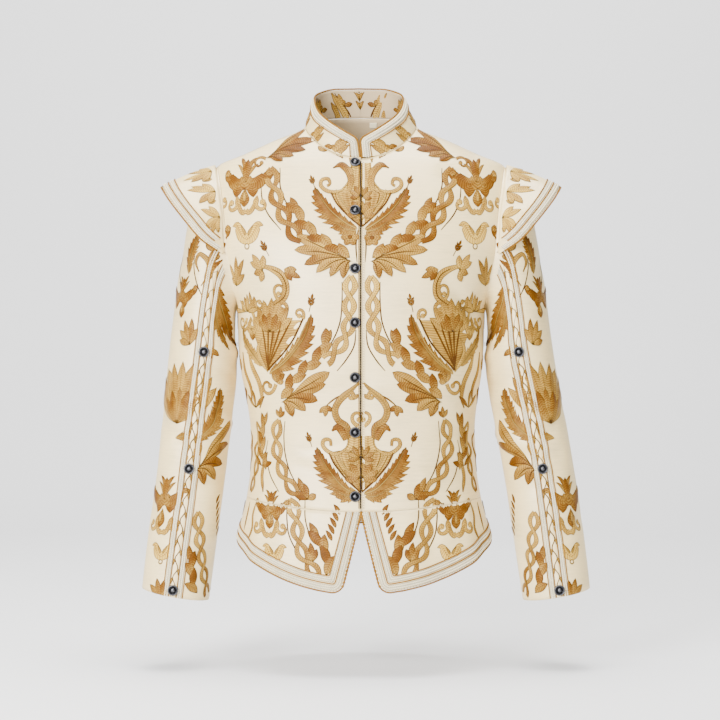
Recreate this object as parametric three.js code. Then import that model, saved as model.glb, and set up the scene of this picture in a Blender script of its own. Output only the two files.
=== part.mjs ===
// An embroidered satin jacket, hollow and filled out as if worn: a stand collar, a buttoned front with
// an underlap, shoulder wings over set-in sleeves, and a peplum that parts below the waist seam.
// Millimetres, +Z up. The front faces -Y and +X is the wearer's left. The origin lies between the
// shoulders, where the wearer carries the jacket.
import * as THREE from "three";

const DEGREE = Math.PI / 180;

// Thicknesses and gaps
const CLOTH = 2; // satin on its interlining
const FACING = 1.2; // plain facing inside the back neck
const BRAID = 0.9;
const CORD = 2.6; // diameter of the cord along an edge
const SEAM = 0.4; // between two pieces that are sewn together
const LAID = 0.3; // under what lies on a panel

// The torso's sections: half the width, the depth before and behind the side seam, and how square the
// section is, 2 being an ellipse. Above the armpit the width runs on under the sleeve.
const TORSO = [
  { z: -640, side: 192, front: 128, back: 124, square: 2.2 },
  { z: -546, side: 178.5, front: 119, back: 114, square: 2.2 },
  { z: -484, side: 163.5, front: 109, back: 101, square: 2.2 },
  { z: -440, side: 157.5, front: 105, back: 94, square: 2.2 },
  { z: -395, side: 156.5, front: 105, back: 91, square: 2.2 },
  { z: -350, side: 161, front: 110, back: 97, square: 2.2 },
  { z: -310, side: 168, front: 116, back: 105, square: 2.2 },
  { z: -265, side: 171.5, front: 121, back: 112, square: 2.2 },
  { z: -222, side: 172.5, front: 122, back: 116, square: 2.2 },
  { z: -196, side: 184, front: 121, back: 117, square: 2.2 },
  { z: -147, side: 206, front: 114, back: 115, square: 2.2 },
  { z: -100, side: 216, front: 100, back: 110, square: 2.15 },
  { z: -60, side: 213, front: 83, back: 101, square: 2.1 },
  { z: -23, side: 200, front: 63, back: 89, square: 2 },
  { z: -6, side: 163, front: 51, back: 84, square: 2 },
  { z: 12, side: 123.7, front: 36, back: 79, square: 2 },
  { z: 33, side: 78, front: 14, back: 71, square: 2 },
  { z: 43, side: 76, front: 12, back: 65, square: 2 },
  { z: 54, side: 70, front: 10, back: 57, square: 2 },
];

// The front edge of the armhole in the front view, from the armpit to the shoulder tip
const ARMHOLE = [
  { z: -222, x: 172.5 },
  { z: -196, x: 174 },
  { z: -147, x: 183 },
  { z: -100, x: 187 },
  { z: -60, x: 192.5 },
  { z: -23, x: 200 },
];
const ARMPIT_Z = ARMHOLE[0].z;
const TIP_Z = ARMHOLE[5].z;
const TIP_X = ARMHOLE[5].x;

// The neckline by the angle from the centre front, with the collar's top edge above it
const NECK = [
  { angle: 0, base: -17, top: 6 },
  { angle: 20, base: -14, top: 19 },
  { angle: 38, base: -4, top: 31 },
  { angle: 60, base: 13, top: 46 },
  { angle: 78, base: 26, top: 61 },
  { angle: 90, base: 33, top: 71 },
  { angle: 120, base: 43, top: 83 },
  { angle: 150, base: 50, top: 90.5 },
  { angle: 180, base: 52, top: 92 },
];
const NECK_HALF_WIDTH = 78;
const NECK_POINT_Z = 33;
const NECK_SHARE = 0.44; // of a panel's width at the top that the neckline takes

// The waist seam and the hem, by the angle from the centre front
const WAIST_Z = -484;
const WAIST_DIP = 14; // how far the seam drops to the centre front
const WAIST_HALF_WIDTH = 164;
const HEM = [
  { angle: 0, z: -609 },
  { angle: 25, z: -593.5 },
  { angle: 40, z: -580 },
  { angle: 55, z: -565.5 },
  { angle: 68, z: -552 },
  { angle: 90, z: -541 },
  { angle: 180, z: -530 },
];
const PEPLUM_RING_Z = -560; // where lengths round the peplum are measured
const SPLIT_TOP = 1.6; // from the centre front to the edge of the parting, at the waist
const SPLIT_FOOT = 27; // and at the hem
const HEM_ROUND = 14; // radius of the peplum's front corners
const HEM_CORNER_ANGLE = 8; // the hem's height at the parting is read here
const PEPLUM_END = { seam: 24, straight: 54 }; // lengths round where the front corner is done

// The sleeve's outlines in the front view, and the ellipses between them
const SLEEVE_OUTER = [
  { z: -631, x: 312 },
  { z: -580, x: 307 },
  { z: -512, x: 299 },
  { z: -445, x: 289.5 },
  { z: -378, x: 281 },
  { z: -311, x: 271.5 },
  { z: -244, x: 263 },
  { z: -176, x: 254.5 },
  { z: -126, x: 246 },
  { z: -88, x: 238.5 },
  { z: -63, x: 229 },
  { z: -46, x: 218 },
  { z: -33, x: 208 },
  { z: -23, x: 200.4 },
];
const SLEEVE_INNER = [
  { z: -640, x: 219.5 },
  { z: -580, x: 211 },
  { z: -512, x: 202 },
  { z: -445, x: 192.5 },
  { z: -378, x: 182.5 },
  { z: -344, x: 177.5 },
  { z: -311, x: 174 },
  { z: -277, x: 175 },
  { z: -240, x: 176 },
  { z: -226, x: 175.5 },
  { z: -222, x: 172.9 },
];
const SLEEVE_RINGS = [
  { at: 0, innerZ: -222, outerZ: -23, depth: 58, forward: 0 },
  { at: 0.06, innerZ: -224.5, outerZ: -30, depth: 60, forward: 0 },
  { at: 0.12, innerZ: -229, outerZ: -46, depth: 61.5, forward: 0 },
  { at: 0.2, innerZ: -240, outerZ: -84, depth: 62, forward: 0 },
  { at: 0.3, innerZ: -262, outerZ: -148, depth: 61.5, forward: 2 },
  { at: 0.42, innerZ: -304, outerZ: -236, depth: 59, forward: 5 },
  { at: 0.6, innerZ: -403, outerZ: -372, depth: 54, forward: 11 },
  { at: 0.8, innerZ: -513, outerZ: -494, depth: 50, forward: 19 },
  { at: 1, innerZ: -625, outerZ: -608, depth: 47, forward: 27 },
];
const ARMHOLE_FADE = 0.22; // share of the sleeve over which the armhole's shape gives way to the ellipse
const ARMHOLE_END = 40; // how sharply the armhole closes at the shoulder tip and the armpit
const ARMPIT_SHARE = 0.12; // of the armhole's height where the sleeve's side gives way to the bodice's

// The jacket hangs a little to the wearer's left below the chest, most of all the sleeves
const SWAY = 7;
const SWAY_FROM = 250; // depth below the shoulders where it starts
const SWAY_TO = 480;
const SWAY_REACH = 220; // distance from the centre line where it is full

// The outer edge of a shoulder wing, from the shoulder, 0, to its front or back corner, 1. The row
// before 0 keeps the edge level where it crosses the shoulder.
const WING = [
  { at: -0.2, x: 274.5, out: -28, z: -55.5 },
  { at: 0, x: 278, out: 0, z: -51 },
  { at: 0.2, x: 274.5, out: 28, z: -55.5 },
  { at: 0.4, x: 262.5, out: 52, z: -73 },
  { at: 0.6, x: 242, out: 69, z: -99 },
  { at: 0.8, x: 215, out: 76, z: -130 },
  { at: 1, x: 187.5, out: 65, z: -149 },
];
const WING_SEAM_DROP = 124; // height of the seam that holds the wing
const WING_LIFT = CLOTH + 2; // how far the wing lies over the armhole seam
const WING_BULGE = 2.5;
const WING_END = 30; // how sharply the wing's seam closes at the shoulder tip
const WING_LEAN = 80; // how far the bulge turns down towards the corners, in degrees

// The wing, peplum and collar have lines of points at these distances from their free edge, and their
// braid lies between the lines. In a band, from and to count lines in from the edge.
const EDGE_LINES = [0, 10, 20];
const BRAID_BANDS = {
  outer: { from: 0.12, to: 0.84 },
  inner: { from: 1.14, to: 1.84 },
};
const COLLAR_LINES = [0, 10];
const COLLAR_BAND = { from: 0.1, to: 0.86 };
const COLLAR_RADIUS = 65; // turns a length round the collar into an angle
const COLLAR_GAP = 2.4; // from the centre front to the collar's edge
const COLLAR_ROUND = 10;
const COLLAR_TOP = { halfWidth: 63.5, front: 60, back: 53 }; // its top edge, an ellipse
const COLLAR_LEAN = -3; // the top edge sits a little to the wearer's right
const COLLAR_END = { foot: 14, straight: 19 }; // lengths round where its rounded end is done
const INNER_ROUND = 2; // least radius of a line inside a rounded corner

// The columns of the sleeve's front, from its outer side: where they run below the wing, in degrees, or
// for those under the trim in millimetres from its middle. Above, they lead to the armhole's points.
const SLEEVE_FRONT = [
  { angle: 0 },
  { angle: 16 },
  { angle: 33 },
  { angle: 49 },
  { angle: 64 },
  { trim: -13 },
  { trim: -5 },
  { trim: 5 },
  { trim: 13 },
  { angle: 122 },
  { angle: 149 },
  { angle: 180 },
];
const SLEEVE_BANDS = {
  braid_outer: { from: 5.08, to: 5.94 },
  strip: { from: 6.04, to: 6.96 },
  braid_inner: { from: 7.06, to: 7.92 },
};
const SLEEVE_TRIM_ROW = 4; // the sleeve's row where its trim starts, under the wing

// The buttoned front
const UNDERLAP = 14;
const LAP_STEP = CLOTH + LAID; // how far the under panel lies behind the upper one
const EDGE_BAND = { from: 1.08, to: 1.3 }; // in columns of the under panel
const BUTTON_X = -8;
const FRONT_BUTTONS = [-25, -93, -172, -244, -317, -391, -477];
const SLEEVE_BUTTONS = [-283, -442, -607];
const BUTTON_RADIUS = 7.4;
const BUTTON_SIDES = 12;

const FINISH = {
  satin: new THREE.MeshStandardMaterial({ color: 0xece0cc, roughness: 0.45 }),
  facing: new THREE.MeshStandardMaterial({ color: 0xc9b79a, roughness: 0.6 }),
  braid: new THREE.MeshStandardMaterial({ color: 0xe6e0d2, roughness: 0.7 }),
  gold: new THREE.MeshStandardMaterial({ color: 0xcda35c, roughness: 0.5 }),
  pewter: new THREE.MeshStandardMaterial({
    color: 0x34343a,
    roughness: 0.35,
    metalness: 0.9,
  }),
};

const lerp = THREE.MathUtils.lerp;
const smooth = (value, low, high) => THREE.MathUtils.smoothstep(value, low, high);
const vector = (x, y, z) => new THREE.Vector3(x, y, z);

// Evenly spaced values from one number to another, both ends included
function spread(from, to, steps) {
  return Array.from({ length: steps + 1 }, (_, i) => lerp(from, to, i / steps));
}

// A smooth curve through one column of a table, which never overshoots its rows
function curve(rows, key, column) {
  const sorted = [...rows].sort((a, b) => a[key] - b[key]);
  const x = sorted.map((row) => row[key]);
  const y = sorted.map((row) => row[column]);
  const last = x.length - 1;
  const step = (i) => (y[i + 1] - y[i]) / (x[i + 1] - x[i]);
  const slope = x.map((_, i) => {
    if (i === 0) return step(0);
    if (i === last) return step(last - 1);
    const before = step(i - 1);
    const after = step(i);
    return before * after > 0 ? (2 * before * after) / (before + after) : 0;
  });
  return (at) => {
    let i = 0;
    while (i < last - 1 && at > x[i + 1]) i += 1;
    const width = x[i + 1] - x[i];
    const t = THREE.MathUtils.clamp((at - x[i]) / width, 0, 1);
    return (
      y[i] * (1 + 2 * t) * (1 - t) ** 2 +
      slope[i] * width * t * (1 - t) ** 2 +
      y[i + 1] * t * t * (3 - 2 * t) +
      slope[i + 1] * width * t * t * (t - 1)
    );
  };
}

const columnsOf = (rows, key) =>
  Object.fromEntries(
    Object.keys(rows[0]).map((column) => [column, curve(rows, key, column)]),
  );
const torso = columnsOf(TORSO, "z");
const armhole = columnsOf(ARMHOLE, "z");
const neck = columnsOf(NECK, "angle");
const hem = columnsOf(HEM, "angle");
const sleeveOuter = columnsOf(SLEEVE_OUTER, "z");
const sleeveInner = columnsOf(SLEEVE_INNER, "z");
const sleeveRing = columnsOf(SLEEVE_RINGS, "at");
const wingEdge = columnsOf(WING, "at");

// The torso's outer surface at x and z, with its outward normal. faces is -1 for the front, 1 for the back.
function onTorso(x, z, faces) {
  const side = torso.side(z);
  const depthOf = faces < 0 ? torso.front : torso.back;
  const depth = depthOf(z);
  const square = torso.square(z);
  const across = Math.min(1, Math.abs(x) / side);
  const along = (1 - across ** square) ** (1 / square);
  const sideSlope = torso.side(z + 0.5) - torso.side(z - 0.5);
  const depthSlope = depthOf(z + 0.5) - depthOf(z - 0.5);
  const normal = vector(
    (Math.sign(x) * across ** (square - 1)) / side,
    (faces * along ** (square - 1)) / depth,
    (-(across ** square) * sideSlope) / side -
      (along ** square * depthSlope) / depth,
  ).normalize();
  const point = vector(Math.sign(x) * across * side, faces * (along * depth + SEAM / 2), z);
  return { point, normal };
}

// A surface's point with the normal that points away from a given centre
function withNormal(surface, a, b, centre, nudge = 0.01) {
  const point = surface(a, b);
  const alongA = surface(a + nudge, b).sub(surface(a - nudge, b));
  const alongB = surface(a, b + nudge).sub(surface(a, b - nudge));
  const normal = alongA.cross(alongB).normalize();
  if (normal.dot(point.clone().sub(centre)) < 0) normal.negate();
  return { point, normal };
}

// A closed solid between two skins of a grid of surface points, raised along the normals by top and under
function layer(name, finish, grid, top, under, closed = false) {
  const rows = grid.length;
  const columns = grid[0].length;
  const skin = (lift) =>
    grid.flat().map(({ point, normal }) => point.clone().addScaledVector(normal, lift));
  const points = [...skin(top), ...skin(under)];
  const at = (side, row, column) => (side * rows + row) * columns + (column % columns);
  const faces = [];
  const quad = (a, b, c, d) => faces.push([a, b, c], [a, c, d]);
  const lastColumn = closed ? columns : columns - 1;
  for (let row = 0; row < rows - 1; row += 1)
    for (let column = 0; column < lastColumn; column += 1) {
      const corners = (side) => [
        at(side, row, column),
        at(side, row, column + 1),
        at(side, row + 1, column + 1),
        at(side, row + 1, column),
      ];
      const [a, b, c, d] = corners(1);
      quad(...corners(0));
      quad(a, d, c, b);
    }
  const edge = (from, to) => quad(at(1, ...from), at(1, ...to), at(0, ...to), at(0, ...from));
  for (let column = 0; column < lastColumn; column += 1) {
    edge([0, column], [0, column + 1]);
    edge([rows - 1, column + 1], [rows - 1, column]);
  }
  for (let row = 0; row < rows - 1 && !closed; row += 1) {
    edge([row + 1, 0], [row, 0]);
    edge([row, columns - 1], [row + 1, columns - 1]);
  }
  return solid(name, finish, points, faces);
}

function swayAt({ x, z }) {
  const reach = Math.min(1, Math.abs(x) / SWAY_REACH) ** 2;
  return SWAY * reach * smooth(-z, SWAY_FROM, SWAY_TO);
}

// A named mesh from points and faces, swayed, and turned so that its faces point out
function solid(name, finish, points, faces) {
  points.forEach((point) => {
    point.x += swayAt(point);
  });
  const volume = faces.reduce(
    (sum, [a, b, c]) => sum + points[a].dot(points[b].clone().cross(points[c])),
    0,
  );
  const turned = volume < 0 ? faces.map(([a, b, c]) => [a, c, b]) : faces;
  const geometry = new THREE.BufferGeometry();
  geometry.setFromPoints(points);
  geometry.setIndex(turned.flat());
  geometry.computeVertexNormals();
  const mesh = new THREE.Mesh(geometry, FINISH[finish]);
  mesh.name = name;
  return mesh;
}

// Part of a grid between fractional rows and columns, which keeps the rows and columns in between
function cutFrom(grid, rows, columns) {
  const stops = ({ from, to }) => {
    const whole = [];
    for (let i = Math.floor(from) + 1; i < to; i += 1) whole.push(i);
    return [from, ...whole, to];
  };
  const mix = (a, b, t) => ({
    point: a.point.clone().lerp(b.point, t),
    normal: a.normal.clone().lerp(b.normal, t).normalize(),
  });
  return stops(rows).map((row) => {
    const i = Math.min(Math.floor(row), grid.length - 2);
    return stops(columns).map((column) => {
      const j = Math.min(Math.floor(column), grid[0].length - 2);
      const here = mix(grid[i][j], grid[i][j + 1], column - j);
      const next = mix(grid[i + 1][j], grid[i + 1][j + 1], column - j);
      return mix(here, next, row - i);
    });
  });
}

// The cord that finishes an edge, beside the cloth and level with its middle. inside is a line of points
// further in, which tells the way out.
function edgeCord(name, edge, inside) {
  const corners = spread(0, 300, 5);
  const points = edge.flatMap(({ point, normal }, i) => {
    const outward = point.clone().sub(inside[i].point);
    outward.addScaledVector(normal, -outward.dot(normal)).normalize();
    const centre = point
      .clone()
      .addScaledVector(outward, CORD / 2 + LAID)
      .addScaledVector(normal, -CLOTH / 2);
    return corners.map((angle) =>
      centre
        .clone()
        .addScaledVector(outward, (CORD / 2) * Math.cos(angle * DEGREE))
        .addScaledVector(normal, (CORD / 2) * Math.sin(angle * DEGREE)),
    );
  });
  const count = corners.length;
  const faces = [];
  for (let ring = 0; ring < edge.length - 1; ring += 1)
    for (let i = 0; i < count; i += 1) {
      const a = ring * count + i;
      const b = ring * count + ((i + 1) % count);
      faces.push([a, b, b + count], [a, b + count, a + count]);
    }
  const lastRing = (edge.length - 1) * count;
  for (let i = 1; i < count - 1; i += 1) {
    faces.push([0, i + 1, i]);
    faces.push([lastRing, lastRing + i, lastRing + i + 1]);
  }
  return solid(name, "gold", points, faces);
}

// Chart points of a line inset from an edge that runs straight to a rounded corner and on along a curve.
// inward is the side of the curve's height that the panel lies on, 1 above it and -1 below.
function edgeLine(edge, inset) {
  const { start, corner, cutAt, heightAt, marks, round, inward } = edge;
  const flat = (a, b) => new THREE.Vector2(a, b);
  const slopeAt = (across) => (heightAt(across + 2) - heightAt(across)) / 2;
  const along = flat(corner[0] - start[0], corner[1] - start[1]).normalize();
  const onward = flat(1, slopeAt(corner[0])).normalize();
  const inA = flat(-along.y, along.x).multiplyScalar(inward);
  const inB = flat(-onward.y, onward.x).multiplyScalar(inward);
  const meet = flat(...corner).addScaledVector(inA.clone().add(inB), inset / (1 + inA.dot(inB)));
  const radius = Math.max(round - inset, INNER_ROUND);
  const setback = radius * Math.tan(Math.acos(along.dot(onward)) / 2);
  const arcStart = meet.clone().addScaledVector(along, -setback);
  const centre = arcStart.clone().addScaledVector(inA, radius);
  const begin = flat(...start).addScaledVector(inA, inset);
  begin.addScaledVector(along, (cutAt(begin.x) - begin.y) / along.y);
  const straight = spread(0, 1, edge.straightSteps).map((t) => begin.clone().lerp(arcStart, t));
  const arc = spread(0, 1, edge.arcSteps)
    .slice(1)
    .map((t) => {
      const outward = inA.clone().lerp(inB, t).normalize().negate();
      return centre.clone().addScaledVector(outward, radius);
    });
  const curved = marks.map((across) => {
    const slope = across < marks[marks.length - 1] ? slopeAt(across) : slopeAt(across - 2);
    return flat(across, heightAt(across) + inward * inset * Math.hypot(1, slope));
  });
  return [...straight, ...arc, ...curved].map((p) => [p.x, p.y]);
}

// Chart points of a panel with such an edge: its inset lines, and then evenly on to the seam
function edgeChart(edge, insets, steps) {
  const lines = insets.map((inset) => edgeLine(edge, inset));
  const last = lines[lines.length - 1];
  const early = last.length - edge.marks.length;
  const seam = [...spread(edge.seamFrom, edge.marks[0], early).slice(0, -1), ...edge.marks];
  const onward = spread(0, 1, steps)
    .slice(1)
    .map((t) =>
      last.map(([across, up], i) => [
        lerp(across, seam[i], t),
        lerp(up, edge.cutAt(seam[i]), t),
      ]),
    );
  return [...lines, ...onward];
}

// Front-view place of a bodice point. across runs from the centre line, 0, to the side seam and armhole,
// 1, and up from the waist seam, 0, to the neckline and shoulder seam, 1.
function bodicePlace(across, up, faces) {
  const share = Math.sin((across * Math.PI) / 2);
  const edgeZ = lerp(WAIST_Z + SEAM / 2, TIP_Z, up);
  const edgeX = edgeZ < ARMPIT_Z ? torso.side(edgeZ) : armhole.x(edgeZ);
  const neckAngle = Math.min(1, share / NECK_SHARE) * 90;
  const past = Math.max(0, (share - NECK_SHARE) / (1 - NECK_SHARE));
  const neckBase = neck.base(faces < 0 ? neckAngle : 180 - neckAngle);
  const topZ = past > 0 ? lerp(NECK_POINT_Z, TIP_Z, past) : neckBase;
  const topX = past > 0 ? torso.side(topZ) : NECK_HALF_WIDTH * Math.sin(neckAngle * DEGREE);
  const straightTop = lerp(neck.base(faces < 0 ? 0 : 180), TIP_Z, share);
  const lift = up ** 3;
  const x = share * edgeX + lift * (topX - share * TIP_X);
  const z = lerp(waistZ(share * WAIST_HALF_WIDTH, faces) + SEAM / 2, straightTop, up);
  return { x, z: z + lift * (topZ - straightTop) };
}

function waistZ(x, faces) {
  const dip = 1 - Math.min(1, Math.abs(x) / WAIST_HALF_WIDTH) ** 1.6;
  return WAIST_Z - (faces < 0 ? WAIST_DIP * dip : 0);
}

// How far the under panel lies back, which fades out away from the centre front
function lapAt(x) {
  return LAP_STEP * (1 - smooth(x, 7, 24));
}

const NECK_ACROSS = (2 / Math.PI) * Math.asin(NECK_SHARE);
const NECK_COLUMNS = 4;
const BODICE_ACROSS = [
  ...spread(0, NECK_ACROSS, NECK_COLUMNS),
  ...spread(NECK_ACROSS, 1, 8).slice(1),
];
const ARMPIT_UP = (ARMPIT_Z - WAIST_Z - SEAM / 2) / (TIP_Z - WAIST_Z - SEAM / 2);
const ARMPIT_ROW = 7;
const BODICE_UP = [
  ...spread(0, ARMPIT_UP, ARMPIT_ROW),
  ...spread(0, 1, 11)
    .slice(1)
    .map((t) => lerp(ARMPIT_UP, 1, 1 - (1 - t) ** 1.6)),
];
const BODICE_TOP = BODICE_UP.length - 1;

function frontGrid(sideSign) {
  return BODICE_UP.map((up) => {
    const row = BODICE_ACROSS.map((across) => {
      const { x, z } = bodicePlace(across, up, -1);
      return onTorso(sideSign * x, z, -1);
    });
    if (sideSign < 0) return row;
    const centreZ = bodicePlace(0, up, -1).z;
    const lapped = [onTorso(-UNDERLAP, centreZ, -1), ...row];
    lapped.forEach(({ point, normal }) => point.addScaledVector(normal, -lapAt(point.x)));
    return lapped;
  });
}

function backGrid() {
  return BODICE_UP.map((up) => {
    const half = (sideSign) =>
      BODICE_ACROSS.map((across) => {
        const { x, z } = bodicePlace(across, up, 1);
        return onTorso(sideSign * x, z, 1);
      });
    return [...half(-1).reverse(), ...half(1).slice(1)];
  });
}

// Lengths round the peplum from the centre front, against the angle
const peplumRing = (() => {
  const power = 2 / torso.square(PEPLUM_RING_Z);
  const place = (angle) => {
    const depthOf = angle < 90 ? torso.front : torso.back;
    const cosine = Math.cos(angle * DEGREE);
    return new THREE.Vector2(
      torso.side(PEPLUM_RING_Z) * Math.sin(angle * DEGREE) ** power,
      -Math.sign(cosine) * depthOf(PEPLUM_RING_Z) * Math.abs(cosine) ** power,
    );
  };
  const rows = [{ angle: 0, length: 0 }];
  for (let angle = 1; angle <= 180; angle += 1) {
    const step = place(angle).distanceTo(place(angle - 1));
    rows.push({ angle, length: rows[angle - 1].length + step });
  }
  return {
    side: rows[90].length,
    back: rows[180].length,
    angleAt: curve(rows, "length", "angle"),
  };
})();

// The share of the torso's half width that a length round the peplum reaches
function peplumShare(length, z) {
  const sine = Math.sin(peplumRing.angleAt(Math.abs(length)) * DEGREE);
  return Math.abs(sine) ** (2 / torso.square(z));
}

// The peplum's surface at a length round from the centre front, signed by side, and a height
function onPeplum(length, z, faces) {
  return onTorso(Math.sign(length) * peplumShare(length, z) * torso.side(z), z, faces);
}

const PEPLUM_EDGE = {
  start: [SPLIT_TOP, WAIST_Z - WAIST_DIP],
  corner: [SPLIT_FOOT, hem.z(HEM_CORNER_ANGLE)],
  cutAt: (length) => waistZ(peplumShare(length, WAIST_Z) * WAIST_HALF_WIDTH, -1) - SEAM / 2,
  heightAt: (length) => hem.z(peplumRing.angleAt(length)),
  seamFrom: PEPLUM_END.seam,
  marks: spread(PEPLUM_END.straight, peplumRing.side, 10),
  straightSteps: 4,
  arcSteps: 4,
  round: HEM_ROUND,
  inward: 1,
};
const SEAM_ROWS = 2; // rows of points between the inner line and the seam

function peplumFrontGrid(sideSign) {
  return edgeChart(PEPLUM_EDGE, EDGE_LINES, SEAM_ROWS).map((row) =>
    row.map(([length, z]) => onPeplum(sideSign * length, z, -1)),
  );
}

function peplumBackGrid() {
  const round = spread(peplumRing.side, 2 * peplumRing.back - peplumRing.side, 20).map(
    (along) => (along > peplumRing.back ? along - 2 * peplumRing.back : along),
  );
  const footAt = (length) => hem.z(peplumRing.angleAt(Math.abs(length)));
  const lines = EDGE_LINES.map((inset) =>
    round.map((length) => [length, footAt(length) + inset]),
  );
  const last = lines[lines.length - 1];
  const seamZ = WAIST_Z - SEAM / 2;
  const onward = spread(0, 1, SEAM_ROWS)
    .slice(1)
    .map((t) => last.map(([length, z]) => [length, lerp(z, seamZ, t)]));
  return [...lines, ...onward].map((row) => row.map(([length, z]) => onPeplum(length, z, 1)));
}

// Lines of the peplum's braid or cord: down the left front, round the back and up the right front
function peplumRound(left, back, right, rows) {
  const last = left[0].length - 1;
  const startAt = { from: 0.1, to: last };
  const middle = cutFrom(back, rows, { from: 1, to: back[0].length - 2 });
  const frontLeft = cutFrom(left, rows, startAt);
  const frontRight = cutFrom(right, rows, startAt);
  return frontLeft.map((row, i) => [...row, ...middle[i], ...frontRight[i].reverse()]);
}

// The bodice's neckline as its panels' corner points, which the collar stands on
const neckline = (() => {
  const right = frontGrid(-1)[BODICE_TOP].slice(0, NECK_COLUMNS + 1);
  const back = backGrid()[BODICE_TOP];
  const middle = (back.length - 1) / 2;
  const behind = back.slice(middle - NECK_COLUMNS, middle);
  const points = [...right, ...behind, back[middle]].map(({ point }) => point);
  const angleOf = (point, i) => {
    const turned = Math.asin(Math.min(1, -point.x / NECK_HALF_WIDTH)) / DEGREE;
    return i <= NECK_COLUMNS ? turned : 180 - turned;
  };
  const angles = points.map(angleOf);
  return { points, angles };
})();

function neckAt(angle) {
  const { points, angles } = neckline;
  let i = 0;
  while (i < angles.length - 2 && angle > angles[i + 1]) i += 1;
  const share = (angle - angles[i]) / (angles[i + 1] - angles[i]);
  return points[i].clone().lerp(points[i + 1], THREE.MathUtils.clamp(share, 0, 1));
}

const collarAngle = (length) => Math.min(180, Math.abs(length) / COLLAR_RADIUS / DEGREE);
const collarFoot = (length) => neckAt(collarAngle(length)).z + SEAM;
const collarTop = (length) => neck.top(collarAngle(length));
const COLLAR_BACK = Math.PI * COLLAR_RADIUS;

// The collar's surface at a length round from the centre front, signed by side, and a height
function collarPoint(length, z) {
  const angle = collarAngle(length);
  const foot = neckAt(angle);
  foot.x *= -Math.sign(length);
  const top = vector(0, 0, neck.top(angle));
  top.x = Math.sign(length) * COLLAR_TOP.halfWidth * Math.sin(angle * DEGREE) + COLLAR_LEAN;
  top.y = -Math.cos(angle * DEGREE) * (angle < 90 ? COLLAR_TOP.front : COLLAR_TOP.back);
  return foot.lerp(top, (z - foot.z) / (top.z - foot.z));
}

const COLLAR_EDGE = {
  start: [COLLAR_GAP, collarFoot(COLLAR_GAP)],
  corner: [COLLAR_GAP + 1, collarTop(COLLAR_GAP + 1)],
  cutAt: collarFoot,
  heightAt: collarTop,
  seamFrom: COLLAR_END.foot,
  marks: [
    COLLAR_END.straight,
    ...neckline.angles.slice(1).map((angle) => angle * COLLAR_RADIUS * DEGREE),
  ],
  straightSteps: 2,
  arcSteps: 4,
  round: COLLAR_ROUND,
  inward: -1,
};

function onCollar(length, z) {
  const point = collarPoint(length, z);
  const step = 1;
  const ahead = Math.min(Math.abs(length) + step, COLLAR_BACK);
  const behind = Math.max(Math.abs(length) - step, 0.01);
  const foot = (at) => collarPoint(Math.sign(length) * at, z);
  const around = foot(ahead).sub(foot(behind));
  if (ahead === COLLAR_BACK) around.set(1, 0, 0);
  const up = collarPoint(length, z + step).sub(collarPoint(length, z - step));
  const normal = around.cross(up).normalize();
  if (normal.dot(vector(point.x, point.y, 0)) < 0) normal.negate();
  return { point, normal };
}

function collarGrid() {
  return edgeChart(COLLAR_EDGE, COLLAR_LINES, SEAM_ROWS).map((row) => {
    const half = (sideSign) => row.map(([length, z]) => onCollar(sideSign * length, z));
    return [...half(1), ...half(-1).reverse().slice(1)];
  });
}

// The sleeve's surface. at runs from the armhole, 0, to the cuff, 1; around from the outer side, 0,
// over the front, 90, to the inner side, 180.
function sleevePoint(sideSign, at, around) {
  const inner = { z: sleeveRing.innerZ(at), x: sleeveInner.x(sleeveRing.innerZ(at)) };
  const outer = { z: sleeveRing.outerZ(at), x: sleeveOuter.x(sleeveRing.outerZ(at)) };
  const cosine = Math.cos(around * DEGREE);
  const sine = Math.sin(around * DEGREE);
  const point = vector(
    lerp(inner.x, outer.x, (1 + cosine) / 2),
    -sleeveRing.depth(at) * sine - sleeveRing.forward(at),
    lerp(inner.z, outer.z, (1 + cosine) / 2),
  );
  const seamZ = lerp(ARMPIT_Z, TIP_Z, (1 + cosine) / 2);
  const seam = onTorso(armhole.x(seamZ), seamZ, sine < 0 ? 1 : -1).point;
  seam.y *= 1 - Math.exp(-Math.abs(sine) * ARMHOLE_END);
  seam.x += SEAM;
  point.lerp(seam, 1 - smooth(at, 0, ARMHOLE_FADE));
  point.x *= sideSign;
  return point;
}

function onSleeve(sideSign, at, around) {
  const ring = (turn) => sleevePoint(sideSign, at, turn);
  const centre = ring(0).add(ring(180)).multiplyScalar(0.5);
  const alongTube = sleevePoint(sideSign, Math.min(1, at + 0.004), around).sub(
    sleevePoint(sideSign, Math.max(0, at - 0.004), around),
  );
  const point = ring(around);
  const normal = ring(around + 2).sub(ring(around - 2)).cross(alongTube).normalize();
  if (normal.dot(point.clone().sub(centre)) < 0) normal.negate();
  if (at === 0) {
    const height = (1 + Math.cos(around * DEGREE)) / 2;
    const seamZ = lerp(ARMPIT_Z, TIP_Z, height);
    const faces = Math.sin(around * DEGREE) < 0 ? 1 : -1;
    const bodice = onTorso(sideSign * armhole.x(seamZ), seamZ, faces).normal;
    normal.lerp(bodice, smooth(height, 0, ARMPIT_SHARE)).normalize();
  }
  return { point, normal };
}

// Where the trim's middle runs on the sleeve, a little inwards of the front at the top
const trimAround = (at) => 90 + 12 * (1 - smooth(at, 0.1, 0.7));

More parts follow.
